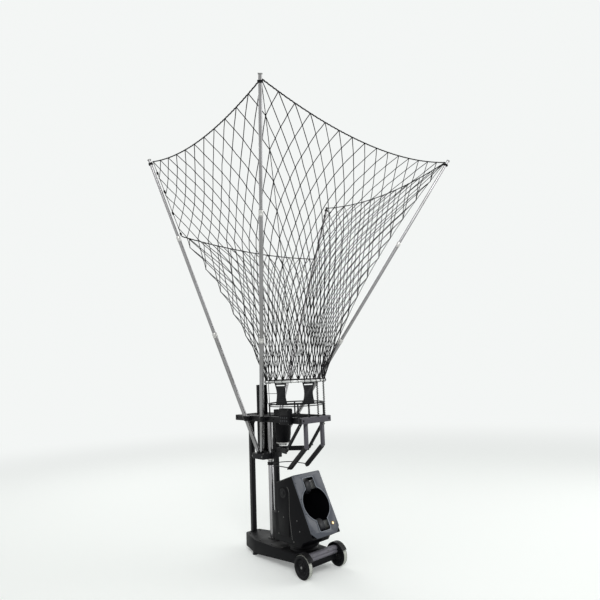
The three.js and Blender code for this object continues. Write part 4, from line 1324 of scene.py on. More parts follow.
@dataclass
class BallChute(SubAssembly):
    """The feeder, its rotor, the two rails, the guards and the hoop."""

    hoop_height: float = 800.0
    mast_front_y: float = 515.0
    rail_x: float = 94.0
    grip_half: float = 14.8
    teeth: int = 13
    feeder_y: float = 429.0

    def build(self) -> None:
        """Makes every piece that the ball passes below the frame."""
        for side, sign in SIDES:
            # The rails take the grey: black paint with painted light from the front.
            self.soft(f"ball_rail_{side}", 2.0, BLACK_PAINT_PAINTED_LIT)
            self.soft(f"side_guard_{side}", 1.6, BLACK_PAINT, segments=2)
            self.grip(side, sign)
        self.feeder()
        self.rotor()
        self.hoop()
        bolts = []
        for sign in (-1, 1):
            out = ALONG_X * sign
            bolts.append((spot(sign * self.rail_x, 2, 1155), -ALONG_Y))
            bolts += [(spot(sign * 140, y, z), out) for y, z in ((36, 1150), (196, 963))]
        self.fasteners("chute_bolts", bolts, 5.0, BOLT_STEEL)

    def grip(self, side: str, sign: int) -> None:
        """Sleeves the sloping part of a rail in toothed rubber.

        Args:
            side: left or right.
            sign: the side's sign along X.
        """
        x = sign * self.rail_x
        start, end = spot(x, 17.5, 984), spot(x, 235, 793)
        along = (end - start).normalized()
        turn = Matrix((ALONG_X, along.cross(ALONG_X), along)).transposed().to_4x4()
        half, length = self.grip_half * MM, (end - start).length
        shapes = [block(Vector((-half, -half, 0.012)), Vector((half, half, length)), 1.4)]
        for i in range(self.teeth):
            low = 0.022 + (length - 0.034) * i / self.teeth
            for face in (-1, 1):
                y0, y1 = sorted((face * 0.0138, face * 0.0176))
                tooth = block(Vector((-0.012, y0, low)), Vector((0.012, y1, low + 0.011)), 1.0)
                shapes.append(tooth)
        sleeve = joined(shapes)
        sleeve.transform(Matrix.Translation(start) @ turn)
        self.put(f"rail_grip_{side}", sleeve, RUBBER)

    def feeder(self) -> None:
        """Makes the funnel housing with its ribs, and the plate that carries it."""
        at = stand(spot(0, self.feeder_y, 0))
        housing = [
            (0, 985), (55, 985), (60, 986.5), (63, 991), (65.2, 1016), (67, 1018), (69.4, 1046),
            (71.2, 1048), (75.6, 1150), (76, 1174), (82, 1174.4), (84, 1176.5), (84, 1181),
            (0, 1181),
        ]
        plate = block(spot(-126.7, 340, 1179), spot(126.7, 514.7, 1185), 0.8)
        funnel = joined([turned(housing, at, 72), plate])
        self.put("feeder_funnel", funnel, SHELL_PLASTIC, stands_for=("feeder_housing",))
        screws = [(at, -UP) for at in circle(78.0, spot(0, self.feeder_y, 1174.2), 8)]
        self.fasteners("feeder_screws", screws, 3.2, BOLT_STEEL, sides=16)
        lip = [(47, 979.5), (62, 979.5), (64.5, 981.5), (64.5, 986), (61, 988), (47, 985.2)]
        self.put("feeder_lip", turned(lip, at, 48, True), COLLAR_METAL)

    def rotor(self) -> None:
        """Makes the paddle wheel under the funnel."""
        at = stand(spot(0, self.feeder_y, 984.7))
        hub = [(0, -26), (26, -26), (30, -24), (30, -11), (27, -9), (12, -8.7), (12, 0), (0, 0)]
        paddles = [turned(hub, at, 40)]
        for i in range(4):
            turn = Matrix.Rotation(math.pi / 2 * i, 4, "Z")
            paddle = block(Vector((20, -4.5, -26)) * MM, Vector((46, 4.5, -13)) * MM, 2.2)
            paddle.transform(at @ turn)
            paddles.append(paddle)
        self.put("rotor_paddles", joined(paddles), STEEL, "feeder", ("feed_rotor",), 40.0)

    def hoop(self) -> None:
        """Makes the round bar that catches the ball at the rear of the chute."""
        reach, radius = 112.3, 4.0
        centre = self.mast_front_y - GAP - radius - reach
        path = [spot(-reach, 224, self.hoop_height)]
        path += circle(reach, spot(0, centre, self.hoop_height), 40, 180.0, -180.0)
        path.append(spot(reach, 224, self.hoop_height))
        self.put("hoop_bar", swept(path, radius), BLACK_PAINT, stands_for=("chute_hoop",))
        knobs = []
        for x, y in ((-reach, 240), (reach, 240), (-reach * 0.93, centre + reach * 0.37)):
            bead = [(0, -16), (6, -16), (9, -13), (9, -9), (6, -6), (4, -5), (4, 6), (0, 6)]
            knobs.append(turned(bead, stand(spot(x, y, self.hoop_height)), 20))
        self.put("hoop_knobs", joined(knobs), RUBBER)


@dataclass
class RingStand(SubAssembly):
    """The two rings, the waisted plates, the wire guard and the springs."""

    centre_y: float = RING_Y
    upper_radius: float = RING_RADIUS
    upper_height: float = RING_HEIGHT
    lower_radius: float = 239.6
    lower_height: float = 1333.5
    lower_bar: float = 6.0
    seat: float = FRAME_TOP + GAP
    post_x: float = 147.0
    plate_angles: tuple[tuple[str, float], ...] = (("left", 200.0), ("front", 254.0))
    plate_half: float = 2.5
    pinch: float = 0.17

    def build(self) -> None:
        """Makes every piece that stands on the frame round the ball drop."""
        self.rings()
        self.plates()
        self.wire_guard()
        self.springs()

    def rings(self) -> None:
        """Makes the net ring and the stand ring with its posts."""
        upper = circle(self.upper_radius, spot(0, self.centre_y, self.upper_height), 96)
        self.put("net_ring_bar", swept(upper, 11.0, 24, True), STEEL, stands_for=("net_ring",))
        lower = circle(self.lower_radius, spot(0, self.centre_y, self.lower_height), 96)
        second = circle(self.lower_radius, spot(0, self.centre_y, self.lower_height - 18), 96)
        shapes = [swept(lower, self.lower_bar, 16, True), swept(second, 4.0, 12, True)]
        reach = math.sqrt(self.lower_radius**2 - self.post_x**2)
        post = [
            (0, 0), (13, 0), (14, 1), (14, 5), (13, 6), (8, 6.6), (7, 8), (7, 110.2), (0, 110.2)
        ]
        for x in (-self.post_x, self.post_x):
            for y in (-reach, reach):
                shapes.append(turned(post, stand(spot(x, self.centre_y + y, self.seat)), 24))
        self.put("stand_ring_bars", joined(shapes), BLACK_PAINT, stands_for=("stand_ring",))

    def plates(self) -> None:
        """Dresses the waisted plates and adds their studs."""
        studs = []
        low = self.lower_height - self.lower_bar
        low_radius = self.lower_radius + self.lower_bar + GAP + self.plate_half
        for side, degrees in self.plate_angles:
            outward = heading(math.radians(degrees))
            across = leftward(outward)
            self.plate(side, across)
            slope = outward * (self.upper_radius - low_radius) + UP * (self.upper_height - low)
            up = slope.normalized()
            face = across.cross(up).normalized()
            face = face if face.dot(outward) > 0 else -face
            foot = spot(0, self.centre_y, low) + outward * low_radius * MM
            for row in range(9):
                for column in range(-2, 3):
                    shift = up * (18 + row * 15) + across * column * 14 + face * self.plate_half
                    studs.append((foot + shift * MM, face))
        self.fasteners("plate_studs", studs, 2.0, BUTTON, sides=10, height=0.3)

    def plate(self, side: str, across: Vector) -> None:
        """Dresses one plate and draws its waist in.

        Args:
            side: which plate.
            across: the level direction along its width.
        """
        mesh = softened(f"ring_plate_{side}", 0.8, 2)
        middle = spot(0, self.centre_y, 0).dot(across)
        low, high = self.lower_height - self.lower_bar, self.upper_height
        for vertex in mesh.vertices:
            share = min(max((vertex.co.z / MM - low) / (high - low), 0.0), 1.0)
            reach = vertex.co.dot(across) - middle
            pinch = self.pinch * math.sin(math.pi * share) ** 2
            vertex.co -= across * reach * pinch
        node = f"ring_plate_{side}"
        self.put(f"{node}_dressed", mesh, BLACK_PAINT, stands_for=(node,))

    def wire_guard(self) -> None:
        """Makes the thin wire guard beside the left plate."""
        wire, lines = 2.6, []
        centre = spot(0, self.centre_y, 0)
        for degrees in (138, 163):
            out = heading(math.radians(degrees)) * MM
            low = centre + out * (self.lower_radius + 8) + UP * self.lower_height * MM
            high = centre + out * (self.upper_radius - 4) + UP * (self.upper_height - 9.5) * MM
            lines.append(swept([low, high], wire, 10))
        bar = circle(250.0, spot(0, self.centre_y, 1425), 16, 138.0, 52.0)
        lines.append(swept(bar, wire, 10))
        self.put("wire_guard", joined(lines), BLACK_PAINT)

    def springs(self) -> None:
        """Makes the three open coils between the rings and the front beam."""
        self.coil("spring_side", 298, self.upper_radius, self.upper_height - 11.3, 23)
        self.coil("spring_front", 274, self.upper_radius, self.upper_height - 11.3, 23)
        self.coil("spring_plate", 254, self.lower_radius + 8.8, self.lower_height - 6.3, 15)

    def coil(self, node: str, degrees: float, radius: float, top: float, pitch: float) -> None:
        """Makes one spring.

        Args:
            node: the solid that it replaces.
            degrees: its place round the ring.
            radius: its distance from the ring's centre, in millimetres.
            top: the height of its upper end.
            pitch: the climb of one curl.
        """
        angle, height, end = math.radians(degrees), top - self.seat, 3.2
        x, y = radius * math.cos(angle), self.centre_y + radius * math.sin(angle)
        at = spot(x, y, self.seat)
        mesh = self.shop.grow(
            Growth.COIL, lines_mesh(node, [Vector((0.0, 0.0, 0.0))]), self.dress(BLACK_PAINT),
            Radius=0.0056, Wire=0.0036, Height=(height - 2 * end) * MM,
            Curls=float(round(1.5 * height / pitch)),
        )
        mesh.transform(stand(at + UP * end * MM, UP, angle + math.pi))
        caps = []
        for sign, rise in ((1, 0.0), (-1, height)):
            cap = [(0, 0), (8.5, 0), (9.3, sign * 0.8), (9.3, sign * 3.4), (0, sign * 3.4)]
            caps.append(turned(cap, stand(at + UP * rise * MM), 20))
        self.put(f"{node}_wire", joined([mesh, *caps]), BLACK_PAINT, stands_for=(node,))


@dataclass
class ControlUnit(SubAssembly):
    """The control box on the left beam, with its window, buttons and screws."""

    face_x: float = -210.3
    pitch: float = 26.0

    def build(self) -> None:
        """Makes the box and what is on its face."""
        self.soft("control_box", 1.5, SHELL_PLASTIC)
        x = self.face_x
        window = block(spot(x - 0.9, 108, 1243), spot(x + 0.4, 207, 1286), 0.5)
        self.put("control_window", window, DARK_GAP)
        button = [(0, -0.4), (8, -0.4), (8, 1.6), (7, 2.6), (0, 2.8)]
        shapes = []
        for row in range(2):
            for column in range(4):
                at = spot(x, 118 + column * self.pitch, 1224 - row * self.pitch)
                shapes.append(turned(button, stand(at, -ALONG_X), 28))
        self.put("control_buttons", joined(shapes), BUTTON)
        corners = [(spot(x, y, z), -ALONG_X) for y in (100, 215) for z in (1175, 1290)]
        self.fasteners("control_screws", corners, 2.6, BOLT_STEEL, sides=16)


@dataclass
class TelescopicPoles(SubAssembly):
    """The four poles, each of three tubes with collars and a cap."""

    foot_x: float = 83.0
    foot_height: float = 900.0
    tip_x: float = 1103.0
    tip_height: float = 3500.0
    overlap: float = 120.0
    wall: float = 2.5
    radii: tuple[float, float, float] = (19.0, 16.0, 13.0)
    corners: tuple[tuple[str, float, float, float, float], ...] = (
        ("front", 636.0, -799.0, 0.379, 0.715), ("rear", 696.0, 816.0, 0.415, 0.744)
    )

    def foot(self, end: str, sign: int) -> Vector:
        """Where a pole's axis starts."""
        y = next(row[1] for row in self.corners if row[0] == end)
        return spot(sign * self.foot_x, y, self.foot_height)

    def tip(self, end: str, sign: int) -> Vector:
        """Where a pole's axis ends."""
        y = next(row[2] for row in self.corners if row[0] == end)
        return spot(sign * self.tip_x, y, self.tip_height)

    def build(self) -> None:
        """Makes the tubes and collars of all four poles."""
        for end, _, _, low, high in self.corners:
            for side, sign in SIDES:
                foot, tip = self.foot(end, sign), self.tip(end, sign)
                length = (tip - foot).length / MM
                self.pole(f"{end}_{side}", stand(foot, tip - foot), length, low, high)

    def pole(self, corner: str, at: Matrix, length: float, low: float, high: float) -> None:
        """Makes one pole.

        Args:
            corner: its place, such as front_left.
            at: the matrix of its foot.
            length: its whole length in millimetres.
            low: the share of the length at which the lower tube ends.
            high: the share at which the middle tube ends.
        """
        spans = (
            ("lower", 0.0, low * length, FIXED),
            ("middle", low * length - self.overlap, high * length, f"middle_{corner}"),
            ("upper", high * length - self.overlap, length, f"upper_{corner}"),
        )
        for (word, start, end, body), outer in zip(spans, self.radii):
            node = f"pole_{word}_{corner}"
            bore = outer - self.wall
            if word == "upper":
                self.tip_tube(node, at, start, end, outer, body)
                continue
            tube = [(bore, start), (outer, start), (outer, end - 40), (outer, end), (bore, end)]
            piece = turned(tube, at, 40, True)
            self.put(f"{node}_tube", piece, CHROME, body, (node,))
            proud = outer + 3
            collar = [
                (outer + 0.05, end - 46), (proud - 1, end - 45.4), (proud, end - 43),
                (proud, end - 30), (proud - 1.4, end - 28.6), (proud - 1.4, end - 24),
                (proud, end - 22.6), (proud, end - 4), (proud - 2, end), (outer + 0.05, end),
            ]
            self.put(f"{node}_collar", turned(collar, at, 40, True), COLLAR_METAL, body)
            pin = at @ Vector((proud * MM, 0.0, (end - 36) * MM))
            way = (at.to_3x3() @ ALONG_X).normalized()
            self.fasteners(f"{node}_pin", [(pin - way * 0.4 * MM, way)], 3.4, BOLT_STEEL, body, 16)

    def tip_tube(
        self, node: str, at: Matrix, start: float, end: float, outer: float, body: str
    ) -> None:
        """Makes an upper tube with its flat cap.

        Args:
            node: the solid that it replaces.
            at: the matrix of the pole's foot.
            start: how far along the pole it starts, in millimetres.
            end: how far along the pole it ends.
            outer: its radius.
            body: the body that it rides on.
        """
        bore = outer - self.wall
        tube = [(bore, start), (outer, start), (outer, end - 8), (bore, end - 8)]
        self.put(f"{node}_tube", turned(tube, at, 36, True), CHROME, body, (node,))
        cap = [
            (0, end - 9), (outer + 3, end - 9), (outer + 3, end - 2), (outer + 1, end), (0, end)
        ]
        self.put(f"{node}_cap", turned(cap, at, 36), BOLT_STEEL, body)


@dataclass
class ShootingHead(SubAssembly):
    """The swivelling head: turntable, shell, panel, wheels, motors and the ringed lens with a
    painted glare.
    """

    lean: float = 27.3
    outlet_y: float = 30.0
    outlet_height: float = 524.0
    wheel_offset: float = 168.0
    wheel_depth: float = 82.0
    fins: int = 12
    seam_highlight_x: float = 156.2
    plate_top: tuple[float, float] = (264.0, 600.0)

    def panel_place(self, x: float, s: float, depth: float = 0.0) -> Vector:
        """A place on or behind the slanted panel.

        Args:
            x: how far it is to one side.
            s: its distance up the slope from the outlet.
            depth: how far it lies behind the panel.

        Returns:
            The place.
        """
        lean = math.radians(self.lean)
        y = self.outlet_y + s * math.sin(lean) + depth * math.cos(lean)
        z = self.outlet_height + s * math.cos(lean) - depth * math.sin(lean)
        return spot(x, y, z)

    @property
    def outward(self) -> Vector:
        """The way that the panel faces."""
        lean = math.radians(self.lean)
        return Vector((0.0, -math.cos(lean), math.sin(lean)))

    def build(self) -> None:
        """Makes every piece of the head."""
        self.soft("head_shell", 3.0, SHELL_PLASTIC, "head", 4)
        self.soft("front_panel", 1.6, SLATE, "head", 4)
        self.soft("outlet_rim", 0.8, RIM_METAL, "head", 2)
        self.turntable()
        for word, sign in (("upper", 1), ("lower", -1)):
            self.launcher(word, sign)
        self.lamp()
        self.trim()

    def turntable(self) -> None:
        """Makes the bearing plate, its race and the turning plate."""
        at = stand(spot(0, 200, 0))
        base = [
            (0, 140.3), (112, 140.3), (116, 142), (116, 152), (113.5, 155), (110, 159),
            (104, 167.2), (101, 167.7), (0, 167.7),
        ]
        race = turned(base, at, 80)
        self.put("turntable_race", race, BLACK_PAINT, stands_for=("turntable_base",))
        plate = [
            (0, 168), (104, 168), (125, 175.4), (128, 178), (128, 201), (125, 204.7), (0, 204.7)
        ]
        top = turned(plate, at, 80)
        self.put("turntable_top", top, BLACK_PAINT, "head", ("turntable_plate",))

    def launcher(self, word: str, sign: int) -> None:
        """Makes one shooting wheel and its motor.

        Args:
            word: upper or lower.
            sign: the side of the outlet along the panel, 1 for upwards.
        """
        at = stand(self.panel_place(0, sign * self.wheel_offset, self.wheel_depth), ALONG_X)
        body = f"shooter_{word}"
        tread = [(24, -26)]
        for step in range(13):
            share = step / 12 * 2 - 1
            tread.append((60 + 6 * abs(share) ** 1.6 - (0.9 if step % 2 else 0.0), share * 27.4))
        tread += [(63, 29), (30, 29), (24, 26)]
        node = f"shooting_wheel_{word}"
        self.put(f"{node}_tread", turned(tread, at, 72, True), FOAM, body, (node,), 50.0)
        hub = [
            (0, -29), (22, -29), (24, -27.5), (24, 27), (20, 29.4), (12, 32), (8, 32.4), (8, 38.6),
            (0, 38.6),
        ]
        self.put(f"{node}_hub", turned(hub, at, 40), BOLT_STEEL, body)
        shape = [(0, 39), (27, 39), (30, 41), (37, 47.5)]
        for fin in range(self.fins):
            start = 50 + fin * 7.4
            shape += [(38, start), (38, start + 4.2), (35.2, start + 4.8), (35.2, start + 6.8)]
        shape += [(38, 140), (38, 148), (36, 150.7), (0, 150.7)]
        motor = f"shooting_motor_{word}"
        self.put(f"{motor}_case", turned(shape, at, 44), STEEL, "head", (motor,), 40.0)

    def lamp(self) -> None:
        """Makes a gilt ring and a domed lens that glows as a painted glare."""
        at = stand(self.panel_place(98, -178), self.outward)
        ring = [(8.4, 0.3), (12, 0.3), (12, 3.6), (11, 4.8), (9.4, 5), (8.4, 4.2)]
        self.put("lamp_ring", turned(ring, at, 40, True), GOLD, "head", ("lamp",))
        lens = [(0, 0.3), (8.3, 0.3), (8.3, 4.4), (7, 6.2), (4, 7.6), (0, 8)]
        # The lens glows as a painted glare.
        self.put("lamp_lens", turned(lens, at, 40), PAINTED_GLARE_LENS, "head")

    def trim(self) -> None:
        """Adds the shell's side plates, screws and vents, the panel's screws, and a bright line
        along each side seam as a painted highlight.
        """
        line = ((214, 655), (196, 640), (188, 610), (190, 520), (191, 429), (164, 249))
        seam_highlights, plates, bosses, vents = [], [], [], []
        for sign in (-1, 1):
            # Each seam line is bright steel on the black shell: a painted highlight where the
            # seam's edge catches the light.
            path = [spot(sign * self.seam_highlight_x, y, z) for y, z in line]
            seam_highlights.append(swept(path, 1.6, 8))
            plates.append(self.side_plate(sign))
            bosses.append(self.boss(sign))
            x0, x1 = sorted((sign * 123.2, sign * 124.8))
            for z in range(300, 396, 16):
                vents.append(block(spot(x0, 385, z), spot(x1, 445, z + 6), 0.5))
        self.put("shell_seam_highlights", joined(seam_highlights), BOLT_STEEL, "head")
        self.put("side_plates", joined(plates), SHELL_PLASTIC, "head")
        self.put("side_bosses", joined(bosses), BLACK_PAINT, "head")
        self.screws()
        self.put("shell_vents", joined(vents), DARK_GAP, "head")

    def screws(self) -> None:
        """Adds the screws of the shell's sides and of the panel."""
        screws = []
        for sign in (-1, 1):
            out = ALONG_X * sign
            for y, z in ((327, 442), (263, 409), (99, 407), (146, 237), (330, 270), (70, 330)):
                depth = 160 if 195 < y < 340 and z > 262 else 156
                screws.append((spot(sign * depth, y, z), out))
        self.fasteners("shell_screws", screws, 3.6, BOLT_STEEL, "head", 16, 0.5)
        rows = (-190, -60, 60, 190, 240)
        front = [(self.panel_place(x, s), self.outward) for x in (-140, 140) for s in rows]
        self.fasteners("panel_screws", front, 3.2, BLACK_BOLT, "head", 16, 0.4)

    def side_plate(self, sign: int) -> Mesh:
        """The raised plate on one side of the shell, with a round top.

        Args:
            sign: which side, 1 or -1.

        Returns:
            The plate.
        """
        y0, z0 = self.plate_top
        outline = [(196, 262), (332, 262), (332, 600)]
        for step in range(13):
            angle = math.pi * step / 12
            outline.append((y0 + 68 * math.cos(angle), z0 + 48 * math.sin(angle)))
        places = [spot(sign * x, y, z) for x in (155.4, 160.0) for y, z in outline]
        count = len(outline)
        faces = [list(range(count)), list(range(2 * count - 1, count - 1, -1))]
        faces += [[i, (i + 1) % count, count + (i + 1) % count, count + i] for i in range(count)]
        return bevelled(mesh_from("side_plate", places, faces), 2.0, 3)

    def boss(self, sign: int) -> Mesh:
        """The round boss near the top of a side plate.

        Args:
            sign: which side, 1 or -1.

        Returns:
            The boss.
        """
        at = stand(spot(sign * 159.6, 259, 600), ALONG_X * sign)
        profile = [
            (0, 0), (38, 0), (40, 1), (40, 3), (38, 4), (32, 4), (30, 2.4), (16, 2.4), (14, 4),
            (14, 7), (12, 8), (0, 8),
        ]
        return turned(profile, at, 48)


CORNERS = (("rear", -1), ("front", -1), ("front", 1), ("rear", 1))


@dataclass
class CatchNet(SubAssembly):
    """The diamond net, made in narrow strips."""

    poles: TelescopicPoles | None = None
    counts: tuple[int, int, int, int] = (22, 30, 22, 22)
    rows: int = 22
    rear_rows: int = 13
    gather_rows: int = 3
    knot_rows: tuple[float, ...] = (13.3, 15.8, 18.4, 20.6)
    foot_height: float = 1535.0
    ring_height: float = RING_HEIGHT
    ring_y: float = RING_Y
    ring_radius: float = RING_RADIUS
    sags: tuple[float, float, float, float] = (118.0, 150.0, 95.0, 45.0)
    corner_draw: float = 125.0
    knee_draw: float = 60.0
    wall_draw: float = 120.0
    tip_inset: float = 34.0
    cord_radius: float = 3.3
    knot_radius: float = 5.4
    waver: float = 0.014
    thin: float = 0.55
    rope_radius: float = 5.8
    tie_radius: float = 13.4
    front_travel: float = 1.5
    rear_travel: float = 1.26
    lead: str = "pole_middle_front_left_slide"

    @staticmethod
    def bearing(corners: float) -> float:
        """The direction from the ring's centre, in radians, so many corners from the first."""
        return math.radians(135 + 90 * corners)

    def ring_point(self, corners: float) -> Vector:
        """The place over the ring where the net starts.

        Args:
            corners: how many corners it is from the first.

        Returns:
            The place.
        """
        angle = self.bearing(corners)
        x, y = self.ring_radius * math.cos(angle), self.ring_radius * math.sin(angle)
        return spot(x, self.ring_y + y, self.foot_height)

    def inward(self, place: Vector) -> Vector:
        """The level direction from a place to the ring's centre."""
        middle = spot(0, self.ring_y, 0)
        return Vector((middle.x - place.x, middle.y - place.y, 0.0)).normalized()

    def inset(self, place: Vector) -> Vector:
        """A place drawn in from a pole towards the machine's middle."""
        return place + self.inward(place) * self.tip_inset * MM

    def pole(self, number: int) -> tuple[str, Vector, Vector]:
        """The end, the foot and the tip of the pole at a corner."""
        end, sign = CORNERS[number % 4]
        return end, self.poles.foot(end, sign), self.poles.tip(end, sign)

    def corner(self, number: int, share: float) -> Vector:
        """A place on one of the net's corner lines.

        Args:
            number: the corner, counted from the rear left one.
            share: how far along, from the ring at 0 to the tip at 1.

        Returns:
            The place in the shared frame.
        """
        end, foot, tip = self.pole(number)
        base = self.ring_point(number % 4)
        top = self.inset(tip - UP * self.tip_inset / 2 * MM)
        inward = self.inward(tip)
        if end == "front":
            bow = self.corner_draw * 4 * share * (1 - share)
            return base.lerp(top, share) + inward * bow * MM
        knee = self.inset(foot.lerp(tip, self.poles.corners[1][4]))
        bend = self.rear_rows / self.rows
        if share < bend:
            part = share / bend
            bow = self.knee_draw * 4 * part * (1 - part)
            return base.lerp(knee, part) + inward * bow * MM
        return knee.lerp(top, (share - bend) / (1 - bend))

    def side_of(self, column: float) -> tuple[int, float]:
        """The net's side and the share of its width at a column.

        Args:
            column: the column, counted round the net.

        Returns:
            The side and the share.
        """
        around = column % sum(self.counts)
        for side, count in enumerate(self.counts):
            if around < count:
                return side, around / count
            around -= count
        return 0, 0.0

    def surface(self, column: float, row: float, side: int | None = None) -> Vector:
        """A place on the net.

        Args:
            column: half diamonds round the net, from the rear left corner.
            row: half diamonds up from the ring.
            side: the side that it belongs to, where a corner could be either.

        Returns:
            The place in the shared frame.
        """
        found, across = self.side_of(column)
        side = found if side is None else side
        if side != found:
            across = 1.0
        share = row / self.rows
        top = self.rear_rows / self.rows if side == 3 else 1.0
        arch = 4 * across * (1 - across)
        rim = self.corner(side, top).lerp(self.corner(side + 1, top), across)
        rim.z -= self.sags[side] * arch * MM
        rise = min(share / top, 1.0)
        place = self.ring_point(side + across).lerp(rim, rise)
        for number, weight in ((side, 1 - across), (side + 1, across)):
            straight = self.corner(number, 0.0).lerp(self.corner(number, top), rise)
            place += (self.corner(number, share) - straight) * weight
        return place + self.inward(place) * self.wall_draw * arch * 4 * rise * (1 - rise) * MM

    def travel(self, column: float) -> Vector:
        """How far the net's top moves at a column when the poles are fully shut.

        Args:
            column: half diamonds round the net, from the rear left corner.

        Returns:
            The move, in metres.
        """
        side, across = self.side_of(column)
        edge = 1 / self.counts[side]
        across = min(max((across - edge) / (1 - 2 * edge), 0.0), 1.0)
        moves = []
        for number in (side, side + 1):
            end, foot, tip = self.pole(number)
            along = (tip - foot).normalized()
            length = self.front_travel if end == "front" else self.rear_travel
            if side == 3:
                base = self.ring_point(number % 4)
                knee, top = self.corner(number, self.rear_rows / self.rows), self.corner(number, 1)
                length *= (knee - base).dot(along) / (top - base).dot(along)
            moves.append(along * -length)
        return moves[0].lerp(moves[1], across)

    def build(self) -> None:
        """Makes each strip and the lacing."""
        for column in range(sum(self.counts)):
            self.strip(column)
        self.lacing()

    def lacing(self) -> None:
        """Ties the net to the ring, two meshes at a time."""
        loops, steps = [], 24
        centre = spot(0, self.ring_y, self.ring_height)
        knot = [(0, -7), (4.5, -6), (7, -2.5), (7, 2.5), (4.5, 6), (0, 7)]
        for column in range(1, sum(self.counts), 4):
            outward = heading(self.bearing(sum(self.side_of(column))))
            along = leftward(outward)
            path = []
            for step in range(steps + 1):
                turn = 2 * math.pi * step / steps
                reach = (outward * math.cos(turn) + UP * math.sin(turn)) * self.tie_radius
                shift = along * 3.0 * (step / steps - 0.5)
                path.append(centre + (outward * self.ring_radius + reach + shift) * MM)
            loops.append(swept(path, 2.2, 8))
            at = centre + (outward * (self.ring_radius + 3) + UP * 17.0) * MM
            loops.append(turned(knot, stand(at, along), 12))
        self.put("ring_ties", joined(loops), CORD, crease=70.0)

    def strip(self, column: int) -> None:
        """Makes the cords and the ropes between one column and the next.

        Args:
            column: half diamonds round the net, from the rear left corner.
        """
        side, _ = self.side_of(column + 0.5)
        top = self.rear_rows if side == 3 else self.rows
        ropes = self.ropes(column, side, top)
        cords = self.cords(column, side, top)
        piece = self.put(f"net_strip_{column:02d}", joined([cords, *ropes]), CORD, crease=60.0)
        if column == 0:
            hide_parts("net")
        move = self.travel(column + 0.5)
        axis = -move.normalized()
        anchor = self.ring_point(sum(self.side_of(column + 0.5)))
        reach = (self.surface(column + 0.5, top, side) - anchor).dot(axis)
        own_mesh(piece)

    def cords(self, column: int, side: int, top: int) -> Mesh:
        """The knotted cords of a strip.

        Args:
            column: the column at which it starts.
            side: the net's side that it belongs to.
            top: its highest row.

        Returns:
            The mesh.
        """
        places: list[Vector] = []
        free: list[float] = []
        edges: list[tuple[int, int]] = []
        index: dict[tuple[int, int], int] = {}

        def knot(at: int, row: int) -> int:
            """The number of the knot at a column and row.

            Args:
                at: the column.
                row: the row.

            Returns:
                The knot's number.
            """
            if (at, row) not in index:
                index[(at, row)] = len(places)
                places.append(self.knot_place(at, row, side))
                free.append(0.0 if row in (0, top) else 1.0)
            return index[(at, row)]

        for row in range(top):
            low, high = (column, column + 1) if (column + row) % 2 == 0 else (column + 1, column)
            edges.append((knot(low, row), knot(high, row + 1)))
        mesh = lines_mesh("strip", places, edges)
        mesh.attributes.new("free", "FLOAT", "POINT").data.foreach_set("value", free)
        return self.shop.grow(
            Growth.CORDS, mesh, self.dress(CORD), Radius=self.cord_radius * MM,
            Knot=self.knot_radius * MM, Waver=self.waver,
        )

    def ropes(self, column: int, side: int, top: int) -> list[Mesh]:
        """The ropes, edge knots and pole tie of a strip.

        Args:
            column: the column at which it starts.
            side: the net's side that it belongs to.
            top: its highest row.

        Returns:
            The meshes.
        """
        last = self.starts(3) - 1
        lines = [([self.surface(column + i / 4, top, side) for i in range(5)], 1.0)]
        edge = column + 1 if column == last else column
        if column in (0, last):
            rows = range(self.rear_rows, self.rows + 1)
            lines.append(([self.surface(edge, row, side) for row in rows], self.thin))
        if column in (self.starts(1), self.starts(2)):
            rows = range(self.rows + 1)
            lines.append(([self.surface(column, row, side) for row in rows], self.thin))
        lines.append(([self.surface(column + i / 2, 0, side) for i in range(3)], 0.7))
        made = [self.rope(line, share) for line, share in lines]
        if column in (0, last):
            made += [self.edge_knot(edge, row, side) for row in self.knot_rows]
        tied = {0: 0, self.starts(1): 1, self.starts(2): 2, last: 3}
        if column in tied:
            made.append(self.pole_tie(tied[column]))
        return made

    def knot_place(self, column: int, row: int, side: int) -> Vector:
        """Where a knot lies, once every second pair is drawn together at a tie.

        Args:
            column: half diamonds round the net.
            row: half diamonds up from the ring.
            side: the net's side.

        Returns:
            The place in the shared frame.
        """
        pull = max(0.0, 1.0 - row / self.gather_rows)
        if column % 2 or not pull:
            return self.surface(column, row, side)
        return self.surface(column + (pull if column % 4 == 0 else -pull), row)

    def edge_knot(self, column: int, row: float, side: int) -> Mesh:
        """A thick knot on the net's edge, beside a rear pole.

        Args:
            column: its column.
            row: its row.
            side: the net's side.

        Returns:
            The knot.
        """
        place = self.surface(column, row, side)
        along = self.surface(column, row + 0.1, side) - place
        profile = [(0, -15), (6, -14), (9.5, -8), (7.5, -3), (10, 2), (8.5, 8), (6, 13), (0, 15)]
        return turned(profile, stand(place, along), 16)

    def starts(self, side: int) -> int:
        """The column at which a side starts."""
        return sum(self.counts[:side])

    def rope(self, line: Sequence[Vector], share: float) -> Mesh:
        """A laid rope along a line of places, at a share of the edge rope's radius."""
        return self.shop.grow(
            Growth.ROPE, lines_mesh("rope", line, [(i, i + 1) for i in range(len(line) - 1)]),
            self.dress(CORD), Radius=self.rope_radius * share * MM, Pitch=0.03, Step=0.008,
        )

    def pole_tie(self, number: int) -> Mesh:
        """The four turns of cord that hold a corner of the net to its pole.

        Args:
            number: the corner, counted from the rear left one.

        Returns:
            The mesh.
        """
        end, foot, tip = self.pole(number)
        at = stand(foot, tip - foot)
        low = (tip - foot).length - (0.058 if end == "front" else 0.05)
        reach = (self.tie_radius + self.cord_radius) * MM
        path, steps = [], 64
        for step in range(steps + 1):
            angle = 8 * math.pi * step / steps
            climb = low + 0.016 * step / steps
            path.append(at @ Vector((reach * math.cos(angle), reach * math.sin(angle), climb)))
        return swept(path, self.cord_radius, 8)


